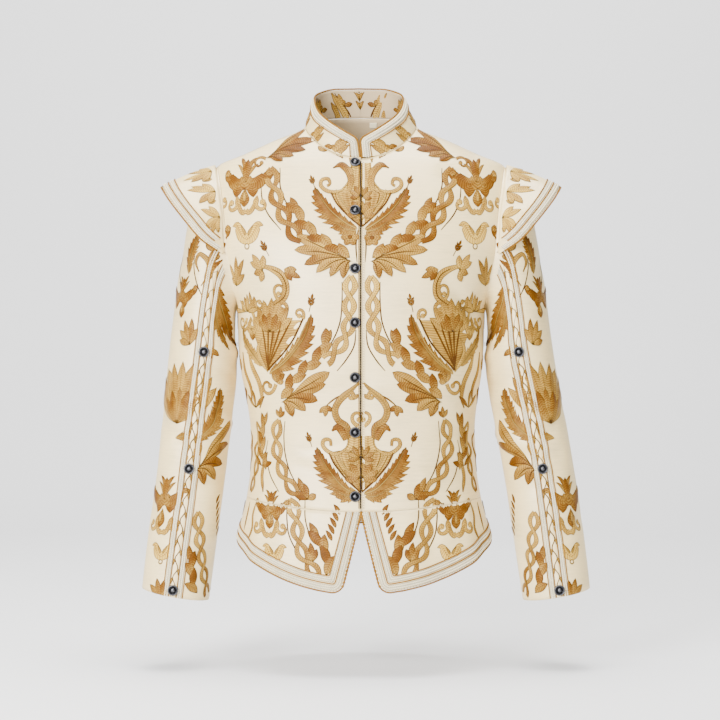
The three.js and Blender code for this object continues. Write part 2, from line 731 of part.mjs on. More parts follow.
// The angles of the sleeve's columns. They start at the bodice's rows on the armhole.
function sleeveColumns(at) {
  const settled = smooth(at, 0, SLEEVE_ALONG[SLEEVE_TRIM_ROW]);
  const radius = (sleeveRing.depth(at) + 48) / 2;
  const front = SLEEVE_FRONT.map(({ angle, trim }, i) => {
    const edgeZ = lerp(WAIST_Z + SEAM / 2, TIP_Z, BODICE_UP[BODICE_TOP - i]);
    const cosine = (2 * (edgeZ - ARMPIT_Z)) / (TIP_Z - ARMPIT_Z) - 1;
    const seamAngle = Math.acos(THREE.MathUtils.clamp(cosine, -1, 1)) / DEGREE;
    const below = trim === undefined ? angle : trimAround(at) + trim / radius / DEGREE;
    const even = (180 * i) / (SLEEVE_FRONT.length - 1);
    return { front: lerp(seamAngle, below, settled), back: lerp(seamAngle, even, settled) };
  });
  const back = front.slice(1, -1).reverse();
  return [...front.map((column) => column.front), ...back.map((column) => 360 - column.back)];
}

const SLEEVE_ALONG = spread(0, 1, 17).map((t) => t ** 1.35);

function sleeveGrid(sideSign) {
  return SLEEVE_ALONG.map((at) =>
    sleeveColumns(at).map((around) => onSleeve(sideSign, at, around)),
  );
}

// The shoulder wing's surface. around runs from its back corner, -1, over the shoulder to the front, 1,
// and out from the armhole seam, 0, to its free edge, 1.
function wingPoint(sideSign, around, out) {
  const turn = Math.abs(around);
  const faces = around > 0 ? -1 : 1;
  const seamZ = TIP_Z - WING_SEAM_DROP * turn ** 1.25;
  const seam = onTorso(armhole.x(seamZ), seamZ, faces);
  seam.point.addScaledVector(seam.normal, WING_LIFT);
  seam.point.x += 2 * SEAM;
  seam.point.y *= 1 - Math.exp(-turn * WING_END);
  const edge = vector(wingEdge.x(turn), faces * wingEdge.out(turn), wingEdge.z(turn));
  const lean = turn * WING_LEAN * DEGREE;
  const bulge = vector(0.4, faces * Math.sin(lean), Math.cos(lean)).normalize();
  const point = seam.point.lerp(edge, out);
  const rise = WING_BULGE * 4 * out * (1 - out);
  point.addScaledVector(bulge, rise * (1 - turn ** 8));
  point.x *= sideSign;
  return point;
}

function onWing(sideSign, around, out) {
  const centre = vector(sideSign * 170, 0, -140);
  return withNormal((a, b) => wingPoint(sideSign, a, b), around, out, centre);
}

const WING_AROUND = spread(-1, 1, 18).map((t) => Math.sign(t) * Math.abs(t) ** 0.9);

// The wing's rows lie at the edge lines' distances, closer together at the narrow corners
function wingGrid(sideSign) {
  const columns = WING_AROUND.map((around) => {
    const width = wingPoint(1, around, 0).distanceTo(wingPoint(1, around, 1));
    const first = 1 - Math.min(EDGE_LINES[1] / width, 0.8);
    const second = 1 - Math.min(EDGE_LINES[2] / width, 0.9);
    return [1, first, second, second / 2, 0].map((out) => onWing(sideSign, around, out));
  });
  return columns[0].map((_, row) => columns.map((column) => column[row]));
}

// The wing's inner braid stops where the wing is too narrow for it
const WING_BRAID_ENDS = {
  outer: { from: 1, to: WING_AROUND.length - 2 },
  inner: { from: 2, to: WING_AROUND.length - 3 },
};

// A turned metal button with a rim and a raised centre, on a short shank
function button(name, { point, normal }, seat) {
  const rim = BUTTON_RADIUS;
  const profile = [
    [0, 0],
    [2.4, 0],
    [2.4, 0.7],
    [rim, 0.7],
    [rim, 2.4],
    [rim - 1.6, 3.4],
    [3.2, 2.6],
    [2.4, 4.2],
    [0, 4.9],
  ].map(([radius, height]) => new THREE.Vector2(radius, height));
  const geometry = new THREE.LatheGeometry(profile, BUTTON_SIDES);
  const mesh = new THREE.Mesh(geometry, FINISH.pewter);
  mesh.name = name;
  mesh.quaternion.setFromUnitVectors(vector(0, 1, 0), normal);
  mesh.position.copy(point).addScaledVector(normal, seat);
  mesh.position.x += swayAt(point);
  return mesh;
}

// The place on a panel seen from the front at x and z
function pressed(panel, x, z) {
  const ray = new THREE.Raycaster(vector(x, -500, z), vector(0, 1, 0));
  const [hit] = ray.intersectObject(panel);
  return { point: hit.point, normal: hit.face.normal };
}

// The place at a given height on the middle of the sleeve's strip
function onStrip(sleeve, z) {
  const { from, to } = SLEEVE_BANDS.strip;
  const middle = (from + to) / 2;
  const line = cutFrom(
    sleeve,
    { from: 0, to: sleeve.length - 1 },
    { from: middle, to: middle + 0.1 },
  ).map(([place]) => place);
  const row = line.findIndex(({ point }) => point.z < z) - 1;
  const [above, below] = [line[row], line[row + 1]];
  const share = (above.point.z - z) / (above.point.z - below.point.z);
  return {
    point: above.point.clone().lerp(below.point, share),
    normal: above.normal.clone().lerp(below.normal, share).normalize(),
  };
}

const jacket = new THREE.Group();
const add = (...layers) => {
  const mesh = layer(...layers);
  jacket.add(mesh);
  return mesh;
};
const LAID_ON = [LAID + BRAID, LAID]; // top and underside of what lies on a panel

const frontLeft = frontGrid(1);
const back = backGrid();
const frontRight = add("front_right", "satin", frontGrid(-1), 0, -CLOTH);
add("front_left", "satin", frontLeft, 0, -CLOTH);
add("back", "satin", back, 0, -CLOTH);
const edgeBand = cutFrom(frontLeft, { from: 0, to: BODICE_TOP - 0.1 }, EDGE_BAND);
add("front_edge_band", "gold", edgeBand, ...LAID_ON);

const backMiddle = (back[0].length - 1) / 2;
const facing = cutFrom(
  back,
  { from: BODICE_TOP - 5, to: BODICE_TOP },
  { from: backMiddle - NECK_COLUMNS + 1, to: backMiddle + NECK_COLUMNS - 1 },
);
const facingTop = -CLOTH - LAID;
add("neck_facing", "facing", facing, facingTop, facingTop - FACING);
const tab = cutFrom(
  back,
  { from: BODICE_TOP - 1.3, to: BODICE_TOP - 0.25 },
  { from: backMiddle + 0.45, to: backMiddle + 0.8 },
);
const tabTop = facingTop - FACING - LAID;
add("neck_tab", "braid", tab, tabTop, tabTop - 0.6);

const peplumRight = peplumFrontGrid(-1);
const peplumLeft = peplumFrontGrid(1);
const peplumBack = peplumBackGrid();
add("peplum_front_right", "satin", peplumRight, 0, -CLOTH);
add("peplum_front_left", "satin", peplumLeft, 0, -CLOTH);
add("peplum_back", "satin", peplumBack, 0, -CLOTH);
for (const [row, band] of Object.entries(BRAID_BANDS)) {
  const braid = peplumRound(peplumLeft, peplumBack, peplumRight, band);
  add(`peplum_braid_${row}`, "braid", braid, ...LAID_ON);
}
const [peplumEdge, peplumInside] = peplumRound(peplumLeft, peplumBack, peplumRight, {
  from: 0,
  to: 1,
});
jacket.add(edgeCord("peplum_cord", peplumEdge, peplumInside));

const collar = collarGrid();
const collarEnds = { from: 0.15, to: collar[0].length - 1.15 };
add("collar", "satin", collar, 0, -CLOTH);
add("collar_braid", "braid", cutFrom(collar, COLLAR_BAND, collarEnds), ...LAID_ON);
jacket.add(edgeCord("collar_cord", ...cutFrom(collar, { from: 0, to: 1 }, collarEnds)));

for (const [side, sideSign] of [["right", -1], ["left", 1]]) {
  const wing = wingGrid(sideSign);
  add(`wing_${side}`, "satin", wing, 0, -CLOTH);
  for (const [row, band] of Object.entries(BRAID_BANDS)) {
    const braid = cutFrom(wing, band, WING_BRAID_ENDS[row]);
    add(`wing_braid_${row}_${side}`, "braid", braid, ...LAID_ON);
  }
  const wingEdges = cutFrom(wing, { from: 0, to: 1 }, WING_BRAID_ENDS.outer);
  jacket.add(edgeCord(`wing_cord_${side}`, ...wingEdges));

  const sleeve = sleeveGrid(sideSign);
  add(`sleeve_${side}`, "satin", sleeve, 0, -CLOTH, true);
  const trimRows = { from: SLEEVE_TRIM_ROW, to: SLEEVE_ALONG.length - 1.02 };
  for (const [row, band] of Object.entries(SLEEVE_BANDS)) {
    const finish = row === "strip" ? "gold" : "braid";
    add(`sleeve_${row}_${side}`, finish, cutFrom(sleeve, trimRows, band), ...LAID_ON);
  }
  SLEEVE_BUTTONS.forEach((z, i) => {
    const place = onStrip(sleeve, z);
    jacket.add(button(`sleeve_button_${side}_${i + 1}`, place, 2 * LAID + BRAID));
  });
}

FRONT_BUTTONS.forEach((z, i) => {
  jacket.add(button(`front_button_${i + 1}`, pressed(frontRight, BUTTON_X, z), LAID));
});

export default jacket;
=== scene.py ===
"""An embroidered satin jacket with shoulder wings and a parted peplum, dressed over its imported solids.

Places are worked out in millimetres, with +Z up, the front facing -Y and +X the wearer's left, and
become metres when a mesh is made.
"""
import math

import bpy
import numpy as np
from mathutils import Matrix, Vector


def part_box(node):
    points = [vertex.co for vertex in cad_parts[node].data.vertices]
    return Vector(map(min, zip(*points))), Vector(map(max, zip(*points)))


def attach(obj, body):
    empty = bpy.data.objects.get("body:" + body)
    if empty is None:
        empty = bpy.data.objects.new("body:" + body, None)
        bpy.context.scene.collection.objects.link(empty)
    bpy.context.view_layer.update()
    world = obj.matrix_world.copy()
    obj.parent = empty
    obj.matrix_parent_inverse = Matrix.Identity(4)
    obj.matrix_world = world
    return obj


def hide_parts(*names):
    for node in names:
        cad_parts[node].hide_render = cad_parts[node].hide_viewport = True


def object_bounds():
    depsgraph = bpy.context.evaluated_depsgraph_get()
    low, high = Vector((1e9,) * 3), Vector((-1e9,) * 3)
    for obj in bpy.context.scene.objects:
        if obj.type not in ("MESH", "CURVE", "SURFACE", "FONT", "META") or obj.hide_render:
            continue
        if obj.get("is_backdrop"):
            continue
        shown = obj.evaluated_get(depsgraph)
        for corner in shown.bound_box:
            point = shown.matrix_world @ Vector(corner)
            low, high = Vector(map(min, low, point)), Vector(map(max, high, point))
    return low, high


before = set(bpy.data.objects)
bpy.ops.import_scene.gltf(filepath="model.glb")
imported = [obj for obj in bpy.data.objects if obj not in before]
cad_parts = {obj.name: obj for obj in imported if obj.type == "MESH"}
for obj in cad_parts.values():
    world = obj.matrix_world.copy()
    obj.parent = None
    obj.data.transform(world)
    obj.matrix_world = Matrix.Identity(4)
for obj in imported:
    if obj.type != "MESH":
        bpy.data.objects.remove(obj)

bl_info = {
    "name": "Embroidered Jacket",
    "version": (1, 0, 0),
    "blender": (4, 5, 0),
    "location": "View3D > Sidebar > Jacket",
    "description": "Satin panels, gold embroidery, braids, cords and buttons over the jacket's solids",
    "category": "Add Mesh",
}

MM = 0.001
DEGREE = math.pi / 180
BODY = "root"

# Thicknesses and gaps of the solids, which the dressed pieces keep
CLOTH = 2.0
SEAM = 0.4
LAID = 0.3
FACING = 1.2
TAB = 0.6
CORD = 2.6


def table(names, *rows):
    """A table's columns by name."""
    return dict(zip(names.split(), np.array(rows, float).T))


# The torso's sections: half the width, the depth before and behind, and how square the section is
TORSO = table(
    "z side front back square",
    (-640, 192, 128, 124, 2.2),
    (-546, 178.5, 119, 114, 2.2),
    (-484, 163.5, 109, 101, 2.2),
    (-440, 157.5, 105, 94, 2.2),
    (-395, 156.5, 105, 91, 2.2),
    (-350, 161, 110, 97, 2.2),
    (-310, 168, 116, 105, 2.2),
    (-265, 171.5, 121, 112, 2.2),
    (-222, 172.5, 122, 116, 2.2),
    (-196, 184, 121, 117, 2.2),
    (-147, 206, 114, 115, 2.2),
    (-100, 216, 100, 110, 2.15),
    (-60, 213, 83, 101, 2.1),
    (-23, 200, 63, 89, 2),
    (-6, 163, 51, 84, 2),
    (12, 123.7, 36, 79, 2),
    (33, 78, 14, 71, 2),
    (43, 76, 12, 65, 2),
    (54, 70, 10, 57, 2),
)
ARMHOLE = table(
    "z x", (-222, 172.5), (-196, 174), (-147, 183), (-100, 187), (-60, 192.5), (-23, 200)
)
ARMPIT_Z, TIP_Z, TIP_X = -222, -23, 200
NECK = table(
    "angle base top",
    (0, -17, 6),
    (20, -14, 19),
    (38, -4, 31),
    (60, 13, 46),
    (78, 26, 61),
    (90, 33, 71),
    (120, 43, 83),
    (150, 50, 90.5),
    (180, 52, 92),
)
NECK_HALF_WIDTH = 78
NECK_POINT_Z = 33
NECK_SHARE = 0.44
WAIST_Z = -484
WAIST_DIP = 14
WAIST_HALF_WIDTH = 164
HEM = table(
    "angle z", (0, -609), (25, -593.5), (40, -580), (55, -565.5), (68, -552), (90, -541), (180, -530)
)
PEPLUM_RING_Z = -560
SPLIT_TOP = 1.6
SPLIT_FOOT = 27
SPLIT_HEIGHT = 109
HEM_CORNER_ANGLE = 8

SLEEVE_OUTER = table(
    "z x",
    (-631, 312),
    (-580, 307),
    (-512, 299),
    (-445, 289.5),
    (-378, 281),
    (-311, 271.5),
    (-244, 263),
    (-176, 254.5),
    (-126, 246),
    (-88, 238.5),
    (-63, 229),
    (-46, 218),
    (-33, 208),
    (-23, 200.4),
)
SLEEVE_INNER = table(
    "z x",
    (-640, 219.5),
    (-580, 211),
    (-512, 202),
    (-445, 192.5),
    (-378, 182.5),
    (-344, 177.5),
    (-311, 174),
    (-277, 175),
    (-240, 176),
    (-226, 175.5),
    (-222, 172.9),
)
SLEEVE_RINGS = table(
    "at inner outer depth forward",
    (0, -222, -23, 58, 0),
    (0.06, -224.5, -30, 60, 0),
    (0.12, -229, -46, 61.5, 0),
    (0.2, -240, -84, 62, 0),
    (0.3, -262, -148, 61.5, 2),
    (0.42, -304, -236, 59, 5),
    (0.6, -403, -372, 54, 11),
    (0.8, -513, -494, 50, 19),
    (1, -625, -608, 47, 27),
)
SLEEVE_HALF_WIDTH = 48
ARMHOLE_FADE = 0.22
TRIM_FROM, TRIM_TO = 0.142, 0.998
SWAY, SWAY_FROM, SWAY_TO, SWAY_REACH = 7, 250, 480, 220

WING = table(
    "around x out z",
    (-0.2, 274.5, -28, -55.5),
    (0, 278, 0, -51),
    (0.2, 274.5, 28, -55.5),
    (0.4, 262.5, 52, -73),
    (0.6, 242, 69, -99),
    (0.8, 215, 76, -130),
    (1, 187.5, 65, -149),
)
WING_SEAM_DROP = 124
WING_LIFT = CLOTH + 2
WING_BULGE = 2.5
WING_HALF_LENGTH = 165  # turns a share round the wing into a length of its chart
WING_WIDTH = 76

COLLAR_RADIUS = 65
COLLAR_GAP = 2.4
COLLAR_LEAN = -3
COLLAR_TOP = {"half": 63.5, "front": 60, "back": 53}
UNDERLAP = 14

# Insets from a free edge, and offsets from the middle of the sleeve's trim
OUTER_BRAID = (1.2, 8.4)
INNER_BRAID = (11.4, 18.4)
COLLAR_BRAID = (1.0, 8.6)
SLEEVE_BRAIDS = {"outer": (-12.4, -5.5), "inner": (5.5, 12.4)}
SLEEVE_STRIP = (-4.7, 4.7)

BUTTON_X = -8
FRONT_BUTTONS = (-25, -93, -172, -244, -317, -391, -477)
SLEEVE_BUTTONS = (-283, -442, -607)
STRIP_BUTTON_SEAT = 1.5

# The rectangle, in metres, that each cut piece is laid in
FLAT = {
    "front": (0.29, 0.57),
    "back": (0.50, 0.57),
    "peplum_front": (0.27, 0.13),
    "peplum_back": (0.52, 0.08),
    "sleeve": (0.42, 0.60),
    "wing": (0.36, 0.085),
    "collar": (0.44, 0.06),
    "neck_facing": (0.16, 0.065),
    "neck_tab": (0.0125, 0.0115),
}

# The camera of the photograph, level with the jacket's middle. A pixel is this wide at the jacket.
PIXEL = 1.4
PHOTO_SIZE = 720
AXIS_PX, SHOULDER_PX = 361, 150
CAMERA = np.array([-1.4, -2500.0, -294.0])
SENSOR = 36.0


def smooth(value, low, high):
    """0 below low, 1 above high, and an even rise between them."""
    t = np.clip((value - low) / (high - low), 0, 1)
    return t * t * (3 - 2 * t)


def lerp(a, b, t):
    return a + (b - a) * t


def curve(rows, key, column):
    """A smooth curve through one column of a table, which never overshoots its rows."""
    order = np.argsort(rows[key])
    x, y = rows[key][order], rows[column][order]
    step = np.diff(y) / np.diff(x)
    product = step[:-1] * step[1:]
    total = np.where(product > 0, step[:-1] + step[1:], 1)
    slope = np.concatenate([step[:1], np.where(product > 0, 2 * product / total, 0), step[-1:]])

    def at(value):
        value = np.asarray(value, float)
        i = np.clip(np.searchsorted(x, value, "right") - 1, 0, len(x) - 2)
        width = x[i + 1] - x[i]
        t = np.clip((value - x[i]) / width, 0, 1)
        rise = y[i] * (1 + 2 * t) * (1 - t) ** 2 + y[i + 1] * t * t * (3 - 2 * t)
        return rise + width * t * (1 - t) * (slope[i] * (1 - t) - slope[i + 1] * t)

    return at


def curves(rows, key):
    return {column: curve(rows, key, column) for column in rows if column != key}


torso, armhole = curves(TORSO, "z"), curves(ARMHOLE, "z")
neck, hem = curves(NECK, "angle"), curves(HEM, "angle")
sleeve_outer, sleeve_inner = curves(SLEEVE_OUTER, "z"), curves(SLEEVE_INNER, "z")
sleeve_ring, wing_edge = curves(SLEEVE_RINGS, "at"), curves(WING, "around")


def stack(x, y, z):
    return np.stack(np.broadcast_arrays(x, y, z), axis=-1).astype(float)


def unit(vectors):
    return vectors / np.maximum(np.linalg.norm(vectors, axis=-1, keepdims=True), 1e-12)


def on_torso(x, z, faces):
    """The torso's outer surface and its normal. faces is -1 for the front and 1 for the back."""
    x, z = np.broadcast_arrays(np.asarray(x, float), np.asarray(z, float))
    side = torso["side"](z)
    depth_of = torso["front"] if faces < 0 else torso["back"]
    depth, square = depth_of(z), torso["square"](z)
    across = np.minimum(1, np.abs(x) / side)
    along = np.maximum(1 - across**square, 0) ** (1 / square)
    side_slope = torso["side"](z + 0.5) - torso["side"](z - 0.5)
    depth_slope = depth_of(z + 0.5) - depth_of(z - 0.5)
    normal = stack(
        np.sign(x) * across ** (square - 1) / side,
        faces * along ** (square - 1) / depth,
        -(across**square) * side_slope / side - along**square * depth_slope / depth,
    )
    point = stack(np.sign(x) * across * side, faces * (along * depth + SEAM / 2), z)
    return point, unit(normal)


def waist_z(x, faces):
    dip = 1 - np.minimum(1, np.abs(x) / WAIST_HALF_WIDTH) ** 1.6
    return WAIST_Z - (WAIST_DIP * dip if faces < 0 else 0 * dip)


class Ring:
    """Lengths round a section of the torso against the angle from its centre."""

    def __init__(self, z, angle_to):
        angle = np.linspace(0, angle_to, 721)
        power = 2 / torso["square"](z)
        cosine = np.cos(angle * DEGREE)
        depth = np.where(angle < 90, torso["front"](z), torso["back"](z))
        x = torso["side"](z) * np.abs(np.sin(angle * DEGREE)) ** power
        y = np.sign(cosine) * depth * np.abs(cosine) ** power
        self.angle = angle
        self.length = np.concatenate([[0], np.cumsum(np.hypot(np.diff(x), np.diff(y)))])

    def angle_at(self, length):
        return np.interp(np.abs(length), self.length, self.angle)


CHART_SIDE = 172.5  # half width of the section that the pattern's chart is measured on
CHART_Z = -222
chart_ring = Ring(CHART_Z, 90)
peplum_ring = Ring(PEPLUM_RING_Z, 180)
PEPLUM_SIDE = float(np.interp(90, peplum_ring.angle, peplum_ring.length))
PEPLUM_BACK = float(peplum_ring.length[-1])


def x_of(s, z):
    """Front-view x of a length s round from the centre line, true to size at every height."""
    side = torso["side"](z)
    sine = np.sin(chart_ring.angle_at(np.abs(s) * CHART_SIDE / side) * DEGREE)
    return np.sign(s) * sine ** (2 / torso["square"](z)) * side


def s_of(x, z):
    side = torso["side"](z)
    sine = np.minimum(1, np.abs(x) / side) ** (torso["square"](z) / 2)
    length = np.interp(np.arcsin(sine) / DEGREE, chart_ring.angle, chart_ring.length)
    return np.sign(x) * length * side / CHART_SIDE


def widest(z):
    """The length s at which a torso panel meets its side."""
    return chart_ring.length[-1] * torso["side"](z) / CHART_SIDE


def lap_at(x):
    """How far the under front lies back, which fades out away from the centre line."""
    return (CLOTH + LAID) * (1 - smooth(x, 7, 24))


def torso_shape(faces, lapped=False):
    def shape(s, z):
        x = x_of(s, z)
        point, normal = on_torso(x, z, faces)
        if lapped:
            point = point - normal * lap_at(x)[..., None]
        return point, normal

    return shape


def bodice_place(across, up, faces):
    """Front-view x and z of a bodice panel's point, as shares across from the centre and up."""
    share = np.sin(across * math.pi / 2)
    edge_z = lerp(WAIST_Z + SEAM / 2, TIP_Z, up)
    edge_x = np.where(edge_z < ARMPIT_Z, torso["side"](edge_z), armhole["x"](edge_z))
    neck_angle = np.minimum(1, share / NECK_SHARE) * 90
    past = np.maximum(0, (share - NECK_SHARE) / (1 - NECK_SHARE))
    base = neck["base"](neck_angle if faces < 0 else 180 - neck_angle)
    top_z = np.where(past > 0, lerp(NECK_POINT_Z, TIP_Z, past), base)
    top_x = np.where(past > 0, torso["side"](top_z), NECK_HALF_WIDTH * np.sin(neck_angle * DEGREE))
    straight_top = lerp(neck["base"](0 if faces < 0 else 180), TIP_Z, share)
    lift = up**3
    x = share * edge_x + lift * (top_x - share * TIP_X)
    z = lerp(waist_z(share * WAIST_HALF_WIDTH, faces) + SEAM / 2, straight_top, up)
    return x, z + lift * (top_z - straight_top)


def numeric_normal(place, a, b, outward, step_a, step_b):
    """Normals of a surface from its slopes, turned to point the way of outward."""
    along_a = place(a + step_a, b) - place(a - step_a, b)
    along_b = place(a, b + step_b) - place(a, b - step_b)
    normal = unit(np.cross(along_a, along_b))
    wrong = (normal * outward).sum(-1, keepdims=True) < 0
    return np.where(wrong, -normal, normal)


def sleeve_point(side_sign, at, around):
    """The sleeve's surface, from the armhole, 0, to the cuff, 1, and round from its outer side."""
    at = np.clip(at, 0, 1)
    cosine, sine = np.cos(around * DEGREE), np.sin(around * DEGREE)
    height = (1 + cosine) / 2
    inner_z, outer_z = sleeve_ring["inner"](at), sleeve_ring["outer"](at)
    point = stack(
        lerp(sleeve_inner["x"](inner_z), sleeve_outer["x"](outer_z), height),
        -sleeve_ring["depth"](at) * sine - sleeve_ring["forward"](at),
        lerp(inner_z, outer_z, height),
    )
    seam_z = lerp(ARMPIT_Z, TIP_Z, height)
    behind = on_torso(armhole["x"](seam_z), seam_z, 1)[0]
    before = on_torso(armhole["x"](seam_z), seam_z, -1)[0]
    seam = np.where((sine < 0)[..., None], behind, before)
    seam[..., 1] *= 1 - np.exp(-np.abs(sine) * 40)
    seam[..., 0] += SEAM
    point = lerp(point, seam, (1 - smooth(at, 0, ARMHOLE_FADE))[..., None])
    point[..., 0] *= side_sign
    return point


SLEEVE_STEPS = np.linspace(0, 1, 401)
SLEEVE_MIDDLE_Z = (sleeve_ring["inner"](SLEEVE_STEPS) + sleeve_ring["outer"](SLEEVE_STEPS)) / 2


def sleeve_radius(z):
    at = np.interp(-np.asarray(z, float), -SLEEVE_MIDDLE_Z, SLEEVE_STEPS)
    return (sleeve_ring["depth"](at) + SLEEVE_HALF_WIDTH) / 2


def sleeve_chart(at, around):
    """Chart place on a sleeve: width outwards from the middle of its face, and height."""
    height = (1 + np.cos(around * DEGREE)) / 2
    z = lerp(sleeve_ring["inner"](at), sleeve_ring["outer"](at), height)
    return (90 - around) * DEGREE * sleeve_radius(z), z


def sleeve_at(z, height):
    low, high = np.zeros_like(z), np.ones_like(z)
    for _ in range(24):
        middle = (low + high) / 2
        above = lerp(sleeve_ring["inner"](middle), sleeve_ring["outer"](middle), height) > z
        low, high = np.where(above, middle, low), np.where(above, high, middle)
    return (low + high) / 2


def sleeve_shape(side_sign, faces):
    def shape(width, z):
        width, z = np.broadcast_arrays(np.asarray(width, float), np.asarray(z, float))
        around = 90 - width / sleeve_radius(z) / DEGREE
        at = sleeve_at(z, (1 + np.cos(around * DEGREE)) / 2)
        around = -faces * around

        def place(a, b):
            return sleeve_point(side_sign, a, b)

        point = place(at, around)
        centre = (place(at, 0 * at) + place(at, 0 * at + 180)) / 2
        return point, numeric_normal(place, at, around, point - centre, 0.004, 2)

    return shape


def trim_around(at):
    return 90 + 12 * (1 - smooth(at, 0.1, 0.7))


def wing_point(side_sign, around, out):
    turn = np.abs(around)
    faces = np.where(around > 0, -1.0, 1.0)
    seam_z = TIP_Z - WING_SEAM_DROP * turn**1.25
    before, before_normal = on_torso(armhole["x"](seam_z), seam_z, -1)
    behind, behind_normal = on_torso(armhole["x"](seam_z), seam_z, 1)
    front = (faces < 0)[..., None]
    seam = np.where(front, before + before_normal * WING_LIFT, behind + behind_normal * WING_LIFT)
    seam[..., 0] += 2 * SEAM
    seam[..., 1] *= 1 - np.exp(-turn * 30)
    edge = stack(wing_edge["x"](turn), faces * wing_edge["out"](turn), wing_edge["z"](turn))
    lean = turn * 80 * DEGREE
    bulge = unit(stack(0.4, faces * np.sin(lean), np.cos(lean)))
    rise = WING_BULGE * 4 * out * (1 - out) * (1 - turn**8)
    point = lerp(seam, edge, out[..., None]) + bulge * rise[..., None]
    point[..., 0] *= side_sign
    return point


def wing_shape(side_sign):
    centre = np.array([side_sign * 170.0, 0, -140])

    def shape(length, width):
        around, out = np.broadcast_arrays(
            np.asarray(length, float) / WING_HALF_LENGTH, np.asarray(width, float) / WING_WIDTH
        )

        def place(a, b):
            return wing_point(side_sign, a, b)

        point = place(around, out)
        return point, numeric_normal(place, around, out, point - centre, 0.01, 0.01)

    return shape


def neckline():
    """The bodice's neckline from the centre front round to the centre back, by its angle."""
    across = np.linspace(0, 2 / math.pi * math.asin(NECK_SHARE), 33)
    one = np.ones_like(across)
    front = on_torso(*bodice_place(across, one, -1), -1)[0]
    back = on_torso(*bodice_place(across, one, 1), 1)[0][::-1][1:]
    front_angle = np.arcsin(np.minimum(1, front[:, 0] / NECK_HALF_WIDTH)) / DEGREE
    back_angle = 180 - np.arcsin(np.minimum(1, back[:, 0] / NECK_HALF_WIDTH)) / DEGREE
    return np.concatenate([front, back]), np.concatenate([front_angle, back_angle])


NECK_POINTS, NECK_ANGLES = neckline()
COLLAR_BACK = math.pi * COLLAR_RADIUS


def neck_at(angle):
    return stack(*[np.interp(angle, NECK_ANGLES, NECK_POINTS[:, i]) for i in range(3)])


def collar_angle(length):
    return np.minimum(180, np.abs(length) / COLLAR_RADIUS / DEGREE)


def collar_foot(length):
    return neck_at(collar_angle(length))[..., 2] + SEAM


def collar_point(length, z):
    angle = collar_angle(length)
    sign = np.sign(length)
    foot = neck_at(angle)
    foot[..., 0] *= sign
    top = stack(
        sign * COLLAR_TOP["half"] * np.sin(angle * DEGREE) + COLLAR_LEAN,
        -np.cos(angle * DEGREE) * np.where(angle < 90, COLLAR_TOP["front"], COLLAR_TOP["back"]),
        neck["top"](angle),
    )
    share = (z - foot[..., 2]) / (top[..., 2] - foot[..., 2])
    return lerp(foot, top, share[..., None])


def collar_shape(inside=False):
    def shape(length, z):
        length, z = np.broadcast_arrays(np.asarray(length, float), np.asarray(z, float))
        length = np.where(np.abs(length) < 0.02, 0.02, length)
        point = collar_point(length, z)
        near_back = np.clip(np.abs(length), 1, COLLAR_BACK - 1.2) * np.sign(length)
        outward = point * [1, 1, 0]
        normal = numeric_normal(collar_point, near_back, z, outward, 1, 1)
        if inside:
            return point - normal * CLOTH, -normal
        return point, normal

    return shape


# Soft folds, as lines in a surface's chart with the reach and the depth of each trough or ridge
def folds(*rows):
    return table("u0 v0 u1 v1 reach depth", *rows)


FRONT_FOLDS = folds(
    (-168, -238, -112, -196, 11, -2.2),
    (-172, -252, -128, -228, 9, 1.5),
    (170, -236, 120, -190, 12, -2.0),
    (172, -256, 132, -226, 9, 1.3),
    (-12, -404, -78, -414, 8, -1.3),
    (-12, -424, -62, -440, 9, 1.1),
    (-14, -452, -86, -436, 8, -1.4),
    (14, -408, 70, -420, 8, -1.2),
    (12, -432, 84, -446, 9, 1.2),
    (14, -460, 74, -454, 7, -1.1),
    (-186, -392, -118, -404, 10, -1.6),
    (-188, -414, -126, -426, 9, 1.2),
    (186, -398, 116, -392, 10, -1.5),
    (188, -424, 132, -414, 9, 1.2),
    (-14, -110, -60, -124, 10, -0.9),
    (14, -128, 66, -140, 11, -0.9),
    (-12, -330, -64, -338, 9, -0.9),
    (12, -334, 58, -326, 9, 0.8),
    (-86, -496, -94, -604, 15, -1.6),
    (-150, -492, -166, -580, 14, 1.6),
    (92, -498, 104, -600, 15, -1.7),
    (150, -494, 160, -584, 14, 1.5),
    (-120, -44, -176, -84, 12, -1.2),
    (122, -40, 178, -88, 12, -1.2),
)
BACK_FOLDS = folds(
    (-160, -236, -96, -206, 12, -2.2),
    (-166, -262, -112, -248, 11, 1.4),
    (164, -240, 88, -200, 12, -2.1),
    (164, -266, 118, -240, 10, 1.4),
    (-60, -396, 34, -410, 11, -1.7),
    (-22, -424, 78, -418, 10, 1.3),
    (-96, -444, 12, -436, 10, -1.4),
    (30, -456, 110, -446, 9, -1.2),
    (-178, -404, -104, -386, 11, -1.6),
    (176, -408, 112, -390, 11, -1.5),
    (-40, -496, -48, -526, 14, -1.4),
    (52, -494, 66, -528, 14, -1.6),
    (-120, -30, -60, -60, 16, -1.2),
    (116, -34, 64, -64, 15, -1.3),
    (-4, -60, 8, -170, 22, -1.3),
)
RIGHT_SLEEVE_FOLDS = folds(
    (-70, -262, -26, -240, 9, -2.2),
    (-72, -284, -20, -276, 10, 1.6),
    (-66, -318, -6, -300, 10, -1.9),
    (-64, -360, 14, -378, 11, -2.2),
    (-58, -384, 30, -402, 10, 1.8),
    (-62, -420, 24, -406, 11, -2.1),
    (66, -372, 20, -398, 11, -1.6),
    (-58, -458, 6, -470, 10, -1.3),
    (58, -500, 6, -488, 11, -1.4),
    (-52, -560, -2, -548, 10, -1.2),
    (70, -150, 30, -196, 14, -1.6),
)
